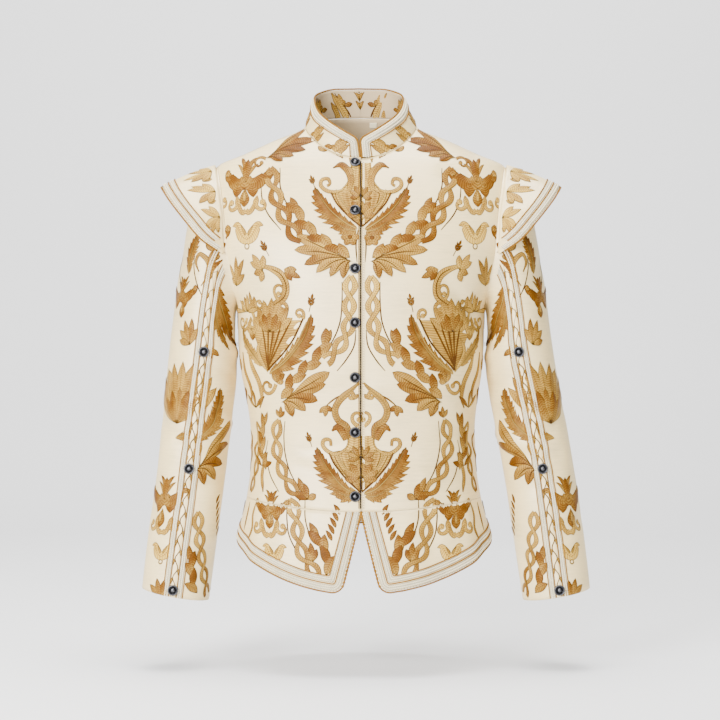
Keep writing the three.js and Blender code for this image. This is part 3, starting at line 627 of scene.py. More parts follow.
LEFT_SLEEVE_FOLDS = folds(
    (-72, -256, -30, -246, 10, -2.0),
    (-70, -290, -22, -270, 10, 1.5),
    (-66, -326, -10, -316, 10, -1.8),
    (-60, -372, 20, -360, 11, -2.1),
    (-62, -398, 12, -416, 10, 1.8),
    (-58, -430, 30, -422, 11, -2.2),
    (64, -360, 16, -392, 11, -1.7),
    (-56, -474, 10, -462, 10, -1.3),
    (60, -512, 12, -524, 11, -1.3),
    (-50, -570, 6, -580, 10, -1.1),
    (70, -160, 34, -186, 13, -1.5),
)
WING_FOLDS = folds(
    (-96, 8, -88, 50, 9, -0.9),
    (-30, 6, -36, 56, 10, 0.9),
    (42, 8, 50, 50, 9, -1.0),
    (108, 6, 100, 40, 8, 0.8),
)
COLLAR_FOLDS = folds(
    (60, 10, 66, 40, 9, -0.6),
    (-64, 12, -58, 44, 9, -0.6),
    (160, 52, 172, 84, 12, -0.6),
)
FOLD_STRENGTH = 2.1


def fold_height(rows, u, v):
    """Height of the folds at chart places: soft gaussian troughs and ridges along short lines."""
    u, v = np.broadcast_arrays(np.asarray(u, float), np.asarray(v, float))
    height = np.zeros(u.shape)
    if rows is None:
        return height
    for u0, v0, u1, v1, reach, depth in zip(*rows.values()):
        run_u, run_v = u1 - u0, v1 - v0
        t = ((u - u0) * run_u + (v - v0) * run_v) / (run_u**2 + run_v**2)
        t = np.clip(t, 0, 1)
        gap = np.hypot(u - u0 - t * run_u, v - v0 - t * run_v)
        height += FOLD_STRENGTH * depth * (1 - 0.45 * t) * np.exp(-((gap / reach) ** 2))
    return height


def sway_at(point):
    reach = np.minimum(1, np.abs(point[..., 0]) / SWAY_REACH) ** 2
    return SWAY * reach * smooth(-point[..., 2], SWAY_FROM, SWAY_TO)


def projected(point):
    """Where the photograph's camera sees points, on the plane through the jacket's middle."""
    share = -CAMERA[1] / (point[..., 1] - CAMERA[1])
    return (point[..., [0, 2]] - CAMERA[[0, 2]]) * share[..., None] + CAMERA[[0, 2]]


class Surface:
    """One side of a piece: its shape, its folds, and the chart that patterns are drawn in."""

    def __init__(self, shape, u_range, v_range, rows=None):
        self.shape = shape
        self.folds = rows
        u, v = np.meshgrid(np.linspace(*u_range, 70), np.linspace(*v_range, 90))
        self.known = u.ravel(), v.ravel()

    def at(self, u, v, lift=0.0):
        """Points and normals at chart places, raised by lift."""
        point, normal = self.shape(u, v)
        height = np.asarray(lift + fold_height(self.folds, u, v))
        point = point + normal * height[..., None]
        point[..., 0] += sway_at(point)
        return point, normal

    def seen(self, *pixels):
        """Chart places, as complex numbers, that the camera sees at pixels of the photograph."""
        target = (np.array(pixels, float) - [AXIS_PX, SHOULDER_PX]) * [PIXEL, -PIXEL]
        u, v = self.known
        known = projected(self.at(u, v)[0])
        nearest = ((target[:, None] - known[None]) ** 2).sum(-1).argmin(1)
        low_u, high_u, low_v, high_v = u.min(), u.max(), v.min(), v.max()
        u, v = u[nearest], v[nearest]
        for _ in range(5):
            here = projected(self.at(u, v)[0])
            by_u = projected(self.at(u + 1, v)[0]) - here
            by_v = projected(self.at(u, v + 1)[0]) - here
            gap = target - here
            area = by_u[:, 0] * by_v[:, 1] - by_u[:, 1] * by_v[:, 0]
            area = np.where(np.abs(area) < 0.1, np.where(area < 0, -0.1, 0.1), area)
            step_u = (gap[:, 0] * by_v[:, 1] - gap[:, 1] * by_v[:, 0]) / area
            step_v = (by_u[:, 0] * gap[:, 1] - by_u[:, 1] * gap[:, 0]) / area
            u = np.clip(u + np.clip(step_u, -12, 12), low_u, high_u)
            v = np.clip(v + np.clip(step_v, -12, 12), low_v, high_v)
        return u + 1j * v


CHART_REACH = (-290, 290)
front_surface = Surface(torso_shape(-1), CHART_REACH, (-612, 34), FRONT_FOLDS)
under_surface = Surface(torso_shape(-1, lapped=True), CHART_REACH, (-500, 34), FRONT_FOLDS)
back_surface = Surface(torso_shape(1), CHART_REACH, (-545, 54), BACK_FOLDS)
SIDES = {"right": -1, "left": 1}
SLEEVE_FOLDS = {"right": RIGHT_SLEEVE_FOLDS, "left": LEFT_SLEEVE_FOLDS}
sleeve_surface = {
    (side, faces): Surface(sleeve_shape(sign, faces), (-84, 84), (-630, -25), SLEEVE_FOLDS[side])
    for side, sign in SIDES.items()
    for faces in (-1, 1)
}
wing_surface = {
    side: Surface(wing_shape(sign), (-WING_HALF_LENGTH, WING_HALF_LENGTH), (0, WING_WIDTH), WING_FOLDS)
    for side, sign in SIDES.items()
}
collar_surface = Surface(collar_shape(), (-COLLAR_BACK, COLLAR_BACK), (-17, 92), COLLAR_FOLDS)
collar_inside = Surface(collar_shape(inside=True), (-COLLAR_BACK, COLLAR_BACK), (-17, 92))


class Edge:
    """A free edge that runs straight to a rounded corner and on along a curve, in a chart."""

    def __init__(self, start, corner, cut, height, marks, seam_from, round_by, inward):
        self.start, self.corner, self.cut, self.height = start, corner, cut, height
        self.marks, self.seam_from, self.round_by, self.inward = marks, seam_from, round_by, inward

    def slope(self, across):
        ahead = np.minimum(across, self.marks[-1] - 2)
        return (self.height(ahead + 2) - self.height(ahead)) / 2

    def line(self, inset, straight_steps=26, arc_steps=10, least=2):
        """Complex chart places of the line at an inset from the edge."""
        along = (self.corner - self.start) / abs(self.corner - self.start)
        onward = 1 + 1j * float(self.slope(self.corner.real))
        onward /= abs(onward)
        in_a, in_b = 1j * along * self.inward, 1j * onward * self.inward
        cosine = (in_a * in_b.conjugate()).real
        meet = self.corner + (in_a + in_b) * inset / (1 + cosine)
        radius = max(self.round_by - inset, least)
        arc_start = meet - along * radius * math.tan(math.acos(cosine) / 2)
        centre = arc_start + in_a * radius
        begin = self.start + in_a * inset
        begin += along * (float(self.cut(begin.real)) - begin.imag) / along.imag
        straight = begin + (arc_start - begin) * np.linspace(0, 1, straight_steps)
        inwards = lerp(in_a, in_b, np.linspace(0, 1, arc_steps + 1)[1:])
        arc = centre - inwards / np.abs(inwards) * radius
        rise = self.inward * inset * np.hypot(1, self.slope(self.marks))
        curved = self.marks + 1j * (self.height(self.marks) + rise)
        return np.concatenate([straight, arc, curved])

    def grid(self, insets, steps):
        """Chart places of the whole panel: its inset lines, and evenly on to the seam."""
        lines = [self.line(inset) for inset in insets]
        last = lines[-1]
        early = len(last) - len(self.marks)
        seam = np.concatenate([np.linspace(self.seam_from, self.marks[0], early + 1)[:-1], self.marks])
        seam = seam + 1j * self.cut(seam)
        return np.array(lines + [lerp(last, seam, t) for t in np.linspace(0, 1, steps + 1)[1:]])


def peplum_x(length, z):
    sine = np.abs(np.sin(peplum_ring.angle_at(length) * DEGREE))
    return np.sign(length) * sine ** (2 / torso["square"](z)) * torso["side"](z)


def peplum_cut(length):
    share = peplum_x(np.abs(length), WAIST_Z) / torso["side"](WAIST_Z)
    return waist_z(share * WAIST_HALF_WIDTH, -1) - SEAM / 2


def peplum_foot(length):
    return hem["z"](peplum_ring.angle_at(length))


PEPLUM_EDGE = Edge(
    SPLIT_TOP + 1j * (WAIST_Z - WAIST_DIP),
    SPLIT_FOOT + 1j * float(hem["z"](HEM_CORNER_ANGLE)),
    peplum_cut,
    peplum_foot,
    np.linspace(54, PEPLUM_SIDE, 44),
    24,
    14,
    1,
)
COLLAR_EDGE = Edge(
    COLLAR_GAP + 1j * float(collar_foot(COLLAR_GAP)),
    COLLAR_GAP + 1 + 1j * float(neck["top"](collar_angle(COLLAR_GAP + 1))),
    collar_foot,
    lambda length: neck["top"](collar_angle(length)),
    np.concatenate([[19], np.linspace(24, COLLAR_BACK, 52)]),
    14,
    10,
    -1,
)


def on_peplum(length, z, lift=0.0):
    """The peplum's surface at lengths round from the centre front, signed by side."""
    length, z = np.broadcast_arrays(np.asarray(length, float), np.asarray(z, float))
    s = s_of(peplum_x(length, z), z)
    front = (np.abs(length) <= PEPLUM_SIDE)[..., None]
    before, before_normal = front_surface.at(s, z, lift)
    behind, behind_normal = back_surface.at(s, z, lift)
    return np.where(front, before, behind), np.where(front, before_normal, behind_normal)


def peplum_line(inset):
    """Points and normals all round the peplum at an inset from its free edge."""
    front = PEPLUM_EDGE.line(inset)
    behind = np.linspace(PEPLUM_SIDE, 2 * PEPLUM_BACK - PEPLUM_SIDE, 90)[1:-1]
    behind = np.where(behind > PEPLUM_BACK, behind - 2 * PEPLUM_BACK, behind)
    round_it = np.concatenate([front.real, behind, -front.real[::-1]])
    heights = np.concatenate([front.imag, peplum_foot(behind) + inset, front.imag[::-1]])
    return on_peplum(round_it, heights)


def wing_line(side, inset, corner=0.94):
    """Points along a wing at an inset from its free edge, between corners given as shares."""
    around = np.linspace(-corner, corner, 90)
    seam, edge = (wing_point(1, around, 0 * around + out) for out in (0, 1))
    out = 1 - np.minimum(inset / np.linalg.norm(seam - edge, axis=-1), 0.95)
    return wing_surface[side].at(around * WING_HALF_LENGTH, out * WING_WIDTH)


def collar_line(inset):
    half = COLLAR_EDGE.line(inset, straight_steps=8)
    length = np.concatenate([half.real, -half.real[::-1][1:]])
    height = np.concatenate([half.imag, half.imag[::-1][1:]])
    return collar_surface.at(length, height)


def on_trim(side, at, offset, lift=0.0):
    """A sleeve's surface at a share down it and an offset from its trim's middle, inwards."""
    radius = (sleeve_ring["depth"](at) + SLEEVE_HALF_WIDTH) / 2
    around = trim_around(at) + offset / radius / DEGREE
    return sleeve_surface[side, -1].at(*sleeve_chart(at, around), lift)


def sleeve_line(side, offset, steps=110):
    """Points down a sleeve's trim at an offset from its middle."""
    return on_trim(side, np.linspace(TRIM_FROM, TRIM_TO, steps), offset)


def length(name, description, value, least, most):
    return bpy.props.FloatProperty(
        name=name, description=description, default=value, min=least, max=most, unit="LENGTH"
    )


class JacketSizes(bpy.types.PropertyGroup):
    """Sizes of the needlework and trims, in metres."""

    pile: length("Embroidery Height", "How far the gold thread stands off the satin", 0.00062, 0.0003, 0.0015)
    plait: length("Plait Pitch", "Spacing of the loops along a white braid", 0.0025, 0.001, 0.006)
    twist: length("Cord Twist", "Spacing of the strands along a gold cord", 0.0021, 0.001, 0.006)
    stitch: length("Stitch Spacing", "Spacing of the stitches beside the edges", 0.0042, 0.002, 0.01)
    floor_gap: length("Height Over Floor", "Clear height under the cuffs", 0.095, 0.0, 0.5)


def colour(name, description, value):
    return bpy.props.FloatVectorProperty(
        name=name, description=description, default=value, subtype="COLOR", size=3, min=0, max=1
    )


class JacketColours(bpy.types.PropertyGroup):
    """Colours of the cloths, threads and metal."""

    satin: colour("Satin", "Ivory ground of the brocade", (0.76, 0.585, 0.275))
    lining: colour("Lining", "Plain cloth inside the body", (0.46, 0.34, 0.19))
    pale_gold: colour("Pale Gold", "Lightest embroidery thread", (0.60, 0.38, 0.075))
    deep_gold: colour("Deep Gold", "Darkest embroidery thread", (0.125, 0.043, 0.0025))
    braid: colour("Braid", "White braid and its loops", (0.78, 0.68, 0.45))
    cord: colour("Cord", "Twisted cord along the edges", (0.20, 0.088, 0.008))
    # Also the colour of the row painted as the shadow along the front opening
    stitch: colour("Stitch", "Dark stitches and seam thread", (0.014, 0.008, 0.004))
    pewter: colour("Pewter", "Metal of the buttons", (0.036, 0.036, 0.039))
    backdrop: colour("Backdrop", "Paper under and behind the jacket", (0.80, 0.80, 0.80))


class Number:
    """A number in a shader, with the arithmetic that its Math nodes give."""

    def __init__(self, finish, socket):
        self.finish = finish
        self.socket = socket

    def math(self, operation, first, second):
        made = self.finish.node("ShaderNodeMath", {0: first, 1: second}, operation=operation)
        return Number(self.finish, made.outputs[0])

    def __add__(self, other):
        return self.math("ADD", self, other)

    def __sub__(self, other):
        return self.math("SUBTRACT", self, other)

    def __rsub__(self, other):
        return self.math("SUBTRACT", other, self)

    def __mul__(self, other):
        return self.math("MULTIPLY", self, other)

    def over(self, other):
        return self.math("GREATER_THAN", self, other)

    def most(self, other):
        return self.math("MAXIMUM", self, other)

    def size(self):
        return self.math("ABSOLUTE", self, 0.0)

    def sine(self):
        return self.math("SINE", self, 0.0)

class Finish:
    """A procedural material and the nodes that are added to it."""

    def __init__(self, name, **constants):
        self.material = bpy.data.materials.new(name)
        self.material.use_nodes = True
        self.tree = self.material.node_tree
        self.shader = self.tree.nodes["Principled BSDF"]
        for label, value in constants.items():
            self.shader.inputs[label.replace("_", " ").title().replace("Ior", "IOR")].default_value = value

    def node(self, kind, values=None, **settings):
        made = self.tree.nodes.new(kind)
        for name, value in settings.items():
            setattr(made, name, value)
        for key, value in (values or {}).items():
            self.plug(made.inputs[key], value)
        return made

    def plug(self, socket, value):
        if isinstance(value, Number):
            value = value.socket
        if isinstance(value, bpy.types.NodeSocket):
            self.tree.links.new(value, socket)
        else:
            socket.default_value = value

    def set(self, label, value):
        self.plug(self.shader.inputs[label], value)

    def place(self, uv=None, scale=(1, 1, 1)):
        """Object coordinates in metres, or a named UV map, scaled."""
        if uv:
            source = self.node("ShaderNodeUVMap", uv_map=uv).outputs[0]
        else:
            source = self.node("ShaderNodeTexCoord").outputs["Object"]
        return self.node("ShaderNodeMapping", {"Vector": source, "Scale": scale}).outputs[0]

    def noise(self, vector, scale, detail=3.0, rough=0.55):
        values = {"Vector": vector, "Scale": scale, "Detail": detail, "Roughness": rough}
        return Number(self, self.node("ShaderNodeTexNoise", values).outputs[0])

    def ramp(self, factor, *stops):
        made = self.node("ShaderNodeValToRGB", {0: factor})
        ramp = made.color_ramp
        while len(ramp.elements) < len(stops):
            ramp.elements.new(0.5)
        for element, (position, tint) in zip(ramp.elements, stops):
            element.position = position
            element.color = (*tint, 1)
        return made.outputs[0]

    def mix(self, factor, a, b, blend="MIX"):
        made = self.node("ShaderNodeMix", data_type="RGBA", blend_type=blend)
        for socket, value in zip((made.inputs[0], made.inputs[6], made.inputs[7]), (factor, a, b)):
            if not isinstance(value, (Number, bpy.types.NodeSocket, float, int)):
                value = (*value, 1)
            self.plug(socket, value)
        return made.outputs[2]

    def attribute(self, name):
        return Number(self, self.node("ShaderNodeAttribute", attribute_name=name).outputs["Fac"])

    def bump(self, height, distance, strength=1.0):
        values = {"Height": height, "Distance": distance, "Strength": strength}
        self.plug(self.shader.inputs["Normal"], self.node("ShaderNodeBump", values).outputs[0])


def darker(tint, share):
    return tuple(value * share for value in tint)


def satin_finish(name, tint):
    """Ivory satin with fine weft lines and slubs, and broad paler and darker patches in its colour that are a
    painted sheen.
    """
    finish = Finish(name, specular_ior_level=1.0)
    chart = finish.place(uv="cloth")
    weft = finish.noise(finish.place(uv="cloth", scale=(90, 1500, 1)), 1.0, 2.0)
    slub = finish.noise(finish.place(uv="cloth", scale=(30, 380, 1)), 1.0, 2.0)
    # Broad soft patches that stand in for the satin's uneven sheen: painted highlight and painted shade
    cloudy = finish.noise(chart, 14.0, 2.0)
    shade = weft * 0.3 + slub * 0.3 + cloudy * 0.4
    pale = tuple(min(1, 1.1 * value) for value in tint)
    # Darker and paler stops: the weave's own tone in the fine lines, painted sheen and shade in the broad
    # patches
    tints = finish.ramp(shade, (0.32, darker(tint, 0.8)), (0.5, tint), (0.68, pale))
    finish.set("Base Color", tints)
    finish.set("Roughness", slub * 0.14 + 0.4)
    finish.bump(weft * 0.7 + slub * 0.5, 0.00012, 0.35)
    return finish.material


def plain_finish(name, tint, scale=1400.0, rough=0.75):
    """Plain matt cloth in a two-thread weave."""
    finish = Finish(name, sheen_weight=0.15)
    parts = finish.node("ShaderNodeSeparateXYZ", {0: finish.place()})
    warp, weft = Number(finish, parts.outputs[0]), Number(finish, parts.outputs[2])
    threads = (warp * scale).sine() * (weft * scale).sine()
    cloudy = finish.noise(finish.place(), 22.0)
    finish.set("Base Color", finish.ramp(cloudy, (0.3, darker(tint, 0.86)), (0.7, tint)))
    finish.set("Roughness", cloudy * 0.1 + rough)
    finish.bump(threads * 0.5 + cloudy, 0.00025, 0.4)
    return finish.material


def thread_finish(name, pale, deep, dark):
    """Gold embroidery: slanted thread lines, a darker outline and a tone that each motif gives."""
    finish = Finish(name, specular_ior_level=0.08)
    thread_map = finish.node("ShaderNodeUVMap", uv_map="thread").outputs[0]
    parts = finish.node("ShaderNodeSeparateXYZ", {0: thread_map})
    along, across = Number(finish, parts.outputs[0]), Number(finish, parts.outputs[1])
    wander = finish.noise(finish.place(), 240.0, 2.0)
    middle_gap = (across - 0.5).size()
    lines = ((along + middle_gap * 7.0) * 1.9 + wander * 1.6).sine() * 0.5 + 0.5
    cloudy = finish.noise(finish.place(), 70.0, 3.0)
    tone = finish.attribute("tone") * 0.55 + cloudy * 0.4 - 0.12 + lines * 0.1
    middle = tuple((a + b) / 2 for a, b in zip(pale, deep))
    tints = finish.ramp(tone, (0.06, pale), (0.3, middle), (0.56, deep), (0.9, dark))
    edge_gap = (0.5 - middle_gap) * finish.attribute("half") * 2.0
    rim = (1.15 - edge_gap * 0.8).most(0.0)
    rib = (0.05 - middle_gap).over(0.0) * 0.35
    shaded = finish.mix(lines * 0.42 + rib, tints, darker(deep, 0.7))
    finish.set("Base Color", finish.mix(rim * 0.85, shaded, darker(deep, 0.3)))
    finish.set("Roughness", cloudy * 0.25 + 0.3)
    finish.bump(lines + wander * 0.4, 0.00025, 0.6)
    return finish.material


def braid_finish(name, tint):
    """Loops of matt white yarn, flecked a little grey at random."""
    finish = Finish(name, sheen_weight=0.3)
    fibre = finish.noise(finish.place(), 900.0, 3.0)
    cloudy = finish.noise(finish.place(), 60.0, 2.0)
    finish.set("Base Color", finish.ramp(fibre * 0.5 + cloudy * 0.5, (0.3, darker(tint, 0.74)), (0.62, tint)))
    finish.set("Roughness", fibre * 0.2 + 0.55)
    finish.bump(fibre, 0.0002, 0.5)
    return finish.material


def cord_finish(name, tint):
    """Silk-wrapped cord with a soft shine and worn, paler high spots."""
    finish = Finish(name, specular_ior_level=0.1)
    fibre = finish.noise(finish.place(), 1100.0, 2.0)
    cloudy = finish.noise(finish.place(), 90.0, 2.0)
    pale = tuple(min(1, value * 1.25) for value in tint)
    finish.set("Base Color", finish.ramp(fibre * 0.4 + cloudy * 0.6, (0.3, darker(tint, 0.7)), (0.7, pale)))
    finish.set("Roughness", fibre * 0.25 + 0.32)
    finish.bump(fibre, 0.00015, 0.5)
    return finish.material


def pewter_finish(name, tint):
    """Aged pewter, dark in its recesses and rubbed bright on the high parts."""
    finish = Finish(name, metallic=1.0)
    height = finish.attribute("rubbed")
    pits = finish.noise(finish.place(), 900.0, 3.0)
    wear = height * 0.85 + pits * 0.5 - 0.2
    bright = tuple(min(1, value * 2.6) for value in tint)
    finish.set("Base Color", finish.ramp(wear, (0.1, darker(tint, 0.1)), (0.5, tint), (1.0, bright)))
    finish.set("Roughness", pits * 0.35 + 0.22)
    finish.bump(pits, 0.00015, 0.5)
    return finish.material


def paper_finish(name, tint):
    finish = Finish(name, specular_ior_level=0.1)
    grain = finish.noise(finish.place(), 3.0, 2.0)
    finish.set("Base Color", finish.ramp(grain, (0.3, darker(tint, 0.99)), (0.7, tint)))
    finish.set("Roughness", grain * 0.05 + 0.9)
    return finish.material


FINISHES = {}


def finish_of(name):
    """The materials are made once, from the panel's colours."""
    if not FINISHES:
        tints = bpy.context.scene.jacket_colours
        FINISHES["satin"] = satin_finish("embroidered_satin", tuple(tints.satin))
        FINISHES["lining"] = plain_finish("body_lining", tuple(tints.lining))
        FINISHES["facing"] = plain_finish("neck_facing", tuple(tints.lining), 1100.0, 0.8)
        FINISHES["tab"] = plain_finish("ribbon_tab", tuple(tints.braid), 2600.0, 0.6)
        FINISHES["thread"] = thread_finish(
            "gold_thread", tuple(tints.pale_gold), tuple(tints.deep_gold), tuple(tints.stitch)
        )
        FINISHES["braid"] = braid_finish("white_braid", tuple(tints.braid))
        # The braid's finish at half its colour, for the ground under the loops: painted shade
        FINISHES["braid_ground_painted_shade"] = braid_finish("braid_ground_painted_shade", darker(tints.braid, 0.5))
        FINISHES["cord"] = cord_finish("gold_cord", tuple(tints.cord))
        # Dark stitches, and the row painted as the shadow along the front opening
        FINISHES["stitch"] = cord_finish("dark_stitch_and_painted_shadow", tuple(tints.stitch))
        FINISHES["pewter"] = pewter_finish("aged_pewter", tuple(tints.pewter))
        FINISHES["paper"] = paper_finish("backdrop_paper", tuple(tints.backdrop))
    return FINISHES[name]


def make_object(name, points, faces, finishes, uv=None, values=None, face_finish=None):
    """A mesh object from points in millimetres, with its UV map, attributes and finishes."""
    mesh = bpy.data.meshes.new(name)
    mesh.from_pydata((np.asarray(points) * MM).tolist(), [], [list(map(int, face)) for face in faces])
    for finish in finishes:
        mesh.materials.append(finish_of(finish))
    corners = np.empty(len(mesh.loops), int)
    mesh.loops.foreach_get("vertex_index", corners)
    if uv is not None:
        label, places = uv
        layer = mesh.uv_layers.new(name=label)
        layer.data.foreach_set("uv", np.asarray(places, np.float32)[corners].ravel())
    for label, numbers in (values or {}).items():
        attribute = mesh.attributes.new(label, "FLOAT", "POINT")
        attribute.data.foreach_set("value", np.asarray(numbers, np.float32))
    if face_finish is not None:
        mesh.polygons.foreach_set("material_index", np.asarray(face_finish, np.int32))
    mesh.polygons.foreach_set("use_smooth", np.full(len(mesh.polygons), True))
    mesh.update()
    made = bpy.data.objects.new(name, mesh)
    bpy.context.scene.collection.objects.link(made)
    return made


def settle(piece, slot, *nodes):
    """A finished piece rides on the jacket, with the nodes it stands for hidden. Its slot is not used."""
    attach(piece, BODY)
    if nodes:
        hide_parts(*nodes)
    return piece


def grid_faces(rows, columns, closed=False):
    """Quads of a grid of points, in row order."""
    r, c = np.meshgrid(np.arange(rows - 1), np.arange(columns if closed else columns - 1), indexing="ij")
    r, c = r.ravel(), c.ravel()
    after = (c + 1) % columns
    row, next_row = r * columns, (r + 1) * columns
    return np.stack([row + c, row + after, next_row + after, next_row + c], 1)


def turned_out(quads, points, outward):
    """The quads, all turned round where they face against the outward directions of their points."""
    a, b, d = (points[quads[:, i]] for i in (0, 1, 3))
    if (np.cross(b - a, d - a) * outward[quads[:, 0]]).sum() < 0:
        return quads[:, ::-1]
    return quads


def cloth_piece(name, outer, normals, chart, closed=False, thickness=CLOTH, finishes=("satin", "lining")):
    """A thin shell of two cloths, from a grid of outer points with their normals."""
    rows, columns = outer.shape[:2]
    count = rows * columns
    points = np.concatenate([outer.reshape(-1, 3), (outer - normals * thickness).reshape(-1, 3)])
    quads = turned_out(grid_faces(rows, columns, closed), outer.reshape(-1, 3), normals.reshape(-1, 3))
    inner = quads[:, ::-1] + count
    edges = {}
    for quad in quads.tolist():
        for start, end in zip(quad, quad[1:] + quad[:1]):
            if (end, start) in edges:
                edges.pop((end, start))
            else:
                edges[start, end] = True
    rim = [[end, start, start + count, end + count] for start, end in edges]
    faces = quads.tolist() + inner.tolist() + rim
    face_finish = [0] * len(quads) + [1] * len(inner) + [0] * len(rim)
    flat = np.stack([chart.real, chart.imag], -1).reshape(-1, 2) * MM
    uv = ("cloth", np.concatenate([flat, flat]))
    return make_object(name, points, faces, finishes, uv, face_finish=face_finish)


def outer_area(outer, closed=False):
    """Area of a grid's outer skin, in square metres."""
    quads = grid_faces(*outer.shape[:2], closed)
    a, b, c, d = (outer.reshape(-1, 3)[quads[:, i]] for i in range(4))
    return float(np.linalg.norm(np.cross(c - a, d - b), axis=1).sum() / 2) * MM * MM


SATIN = "embroidered_satin"
LEAST_SHARE = 0.31  # share of its rectangle that a piece's own area has at the least


def sewn_panel(node, grid, flat, held, rests_on, slot=SATIN, made="cloth", closed=False, **cloth):
    """A cut piece in place of its solid, from its outer points, normals and chart."""
    outer, normals, chart = grid
    piece = cloth_piece(f"{node}_{made}", outer, normals, chart, closed, **cloth)
    settle(piece, slot, node)
    whole = flat[0] * flat[1]
    area = max(min(outer_area(outer, closed), whole), LEAST_SHARE * whole)


# Columns and rows of the cloths' grids, and the depth of the lines that follow a free edge
BODICE_COLUMNS, BODICE_ROWS = 58, 116
PEPLUM_BORDER, PEPLUM_BORDER_LINES, PEPLUM_STEPS = 20, 7, 14
PEPLUM_BACK_COLUMNS, PEPLUM_BACK_ROWS = 110, 16
SLEEVE_RINGS_MADE, SLEEVE_COLUMNS = 140, 44
CLOSER_AT_SHOULDER = 1.15  # power that draws the sleeve's rings together at the armhole
WING_COLUMNS, WING_ROWS = 91, 22
CLOSER_AT_ENDS = 0.9  # power that draws the wing's columns together at its ends
COLLAR_BORDER, COLLAR_BORDER_LINES, COLLAR_STEPS = 10, 5, 9
FACING_HALF_WIDTH, FACING_DROP, FACING_COLUMNS, FACING_ROWS = 72, 56, 40, 18
TAB_COLUMNS, TAB_ROWS = 9, 7
SLEEVE_FOLD_U = -95  # chart width that the back of a sleeve is folded over about


def bodice_half(faces, sign, surface, lap_columns=0):
    """Outer points, normals and chart places of one half of the bodice, with columns for an underlap."""
    across, up = np.meshgrid(np.linspace(0, 1, BODICE_COLUMNS), np.linspace(0, 1, BODICE_ROWS))
    x, z = bodice_place(across, up, faces)
    x = x * sign
    if lap_columns:
        lap = np.linspace(-UNDERLAP, 0, lap_columns + 1)[:-1]
        x = np.concatenate([np.broadcast_to(lap, (len(x), lap_columns)), x], axis=1)
        z = np.concatenate([np.repeat(z[:, :1], lap_columns, axis=1), z], axis=1)
    chart = s_of(x, z) + 1j * z
    return *surface.at(chart.real, chart.imag), chart


class JACKET_OT_bodice(bpy.types.Operator):
    """Build the two fronts and the back of the bodice"""

    bl_idname = "jacket.bodice"
    bl_label = "Bodice"

    def execute(self, context):
        for node, sign, surface, lap in (
            ("front_right", -1, front_surface, 0),
            ("front_left", 1, under_surface, 5),
        ):
            sewn_panel(node, bodice_half(-1, sign, surface, lap), FLAT["front"], "hung", ["back", "collar"])
        halves = [bodice_half(1, sign, back_surface) for sign in (-1, 1)]
        joined = [np.concatenate([right[:, ::-1], left[:, 1:]], axis=1) for right, left in zip(*halves)]
        sewn_panel("back", joined, FLAT["back"], "hung", ["front_right", "front_left"])
        return {"FINISHED"}


class JACKET_OT_peplum(bpy.types.Operator):
    """Build the three panels below the waist seam"""

    bl_idname = "jacket.peplum"
    bl_label = "Peplum"

    def execute(self, context):
        chart = PEPLUM_EDGE.grid(np.linspace(0, PEPLUM_BORDER, PEPLUM_BORDER_LINES), PEPLUM_STEPS)
        for side, sign in SIDES.items():
            places = sign * chart.real + 1j * chart.imag
            grid = *on_peplum(places.real, places.imag), places
            sewn_panel(f"peplum_front_{side}", grid, FLAT["peplum_front"], "hung", [f"front_{side}"])
        length = np.linspace(PEPLUM_SIDE, 2 * PEPLUM_BACK - PEPLUM_SIDE, PEPLUM_BACK_COLUMNS)
        length = np.where(length > PEPLUM_BACK, length - 2 * PEPLUM_BACK, length)
        rise = np.linspace(0, 1, PEPLUM_BACK_ROWS)[:, None]
        height = lerp(peplum_foot(length), WAIST_Z - SEAM / 2, rise)
        length = np.broadcast_to(length, height.shape)
        just_behind = PEPLUM_SIDE + 0.001
        length = np.where(np.abs(length) < just_behind, np.sign(length) * just_behind, length)
        unrolled = np.where(length < 0, length + 2 * PEPLUM_BACK, length)
        grid = *on_peplum(length, height), unrolled + 1j * height
        sewn_panel("peplum_back", grid, FLAT["peplum_back"], "hung", ["back"])
        return {"FINISHED"}


class JACKET_OT_sleeves(bpy.types.Operator):
    """Build the two set-in sleeves"""

    bl_idname = "jacket.sleeves"
    bl_label = "Sleeves"

    def execute(self, context):
        down = np.linspace(0, 1, SLEEVE_RINGS_MADE) ** CLOSER_AT_SHOULDER
        width, z = sleeve_chart(*np.meshgrid(down, np.linspace(0, 180, SLEEVE_COLUMNS), indexing="ij"))
        places = width + 1j * z
        turned_over = 2 * SLEEVE_FOLD_U - places.conj()
        for side in SIDES:
            before = *sleeve_surface[side, -1].at(width, z), places
            behind = *sleeve_surface[side, 1].at(width, z), turned_over
            grid = [np.concatenate([a, b[:, ::-1][:, 1:-1]], axis=1) for a, b in zip(before, behind)]
            sewn_panel(f"sleeve_{side}", grid, FLAT["sleeve"], "hung", [f"front_{side}", "back"], closed=True)
        return {"FINISHED"}


class JACKET_OT_wings(bpy.types.Operator):
    """Build the two shoulder wings"""

    bl_idname = "jacket.wings"
    bl_label = "Shoulder Wings"

    def execute(self, context):
        turn = np.linspace(-1, 1, WING_COLUMNS)
        turn = np.sign(turn) * np.abs(turn) ** CLOSER_AT_ENDS
        around, out = np.meshgrid(turn, np.linspace(0, 1, WING_ROWS))
        chart = around * WING_HALF_LENGTH + 1j * out * WING_WIDTH
        for side in SIDES:
            grid = *wing_surface[side].at(chart.real, chart.imag), chart
            carriers = [f"front_{side}", "back", f"sleeve_{side}"]
            sewn_panel(f"wing_{side}", grid, FLAT["wing"], "stretched", carriers)
        return {"FINISHED"}


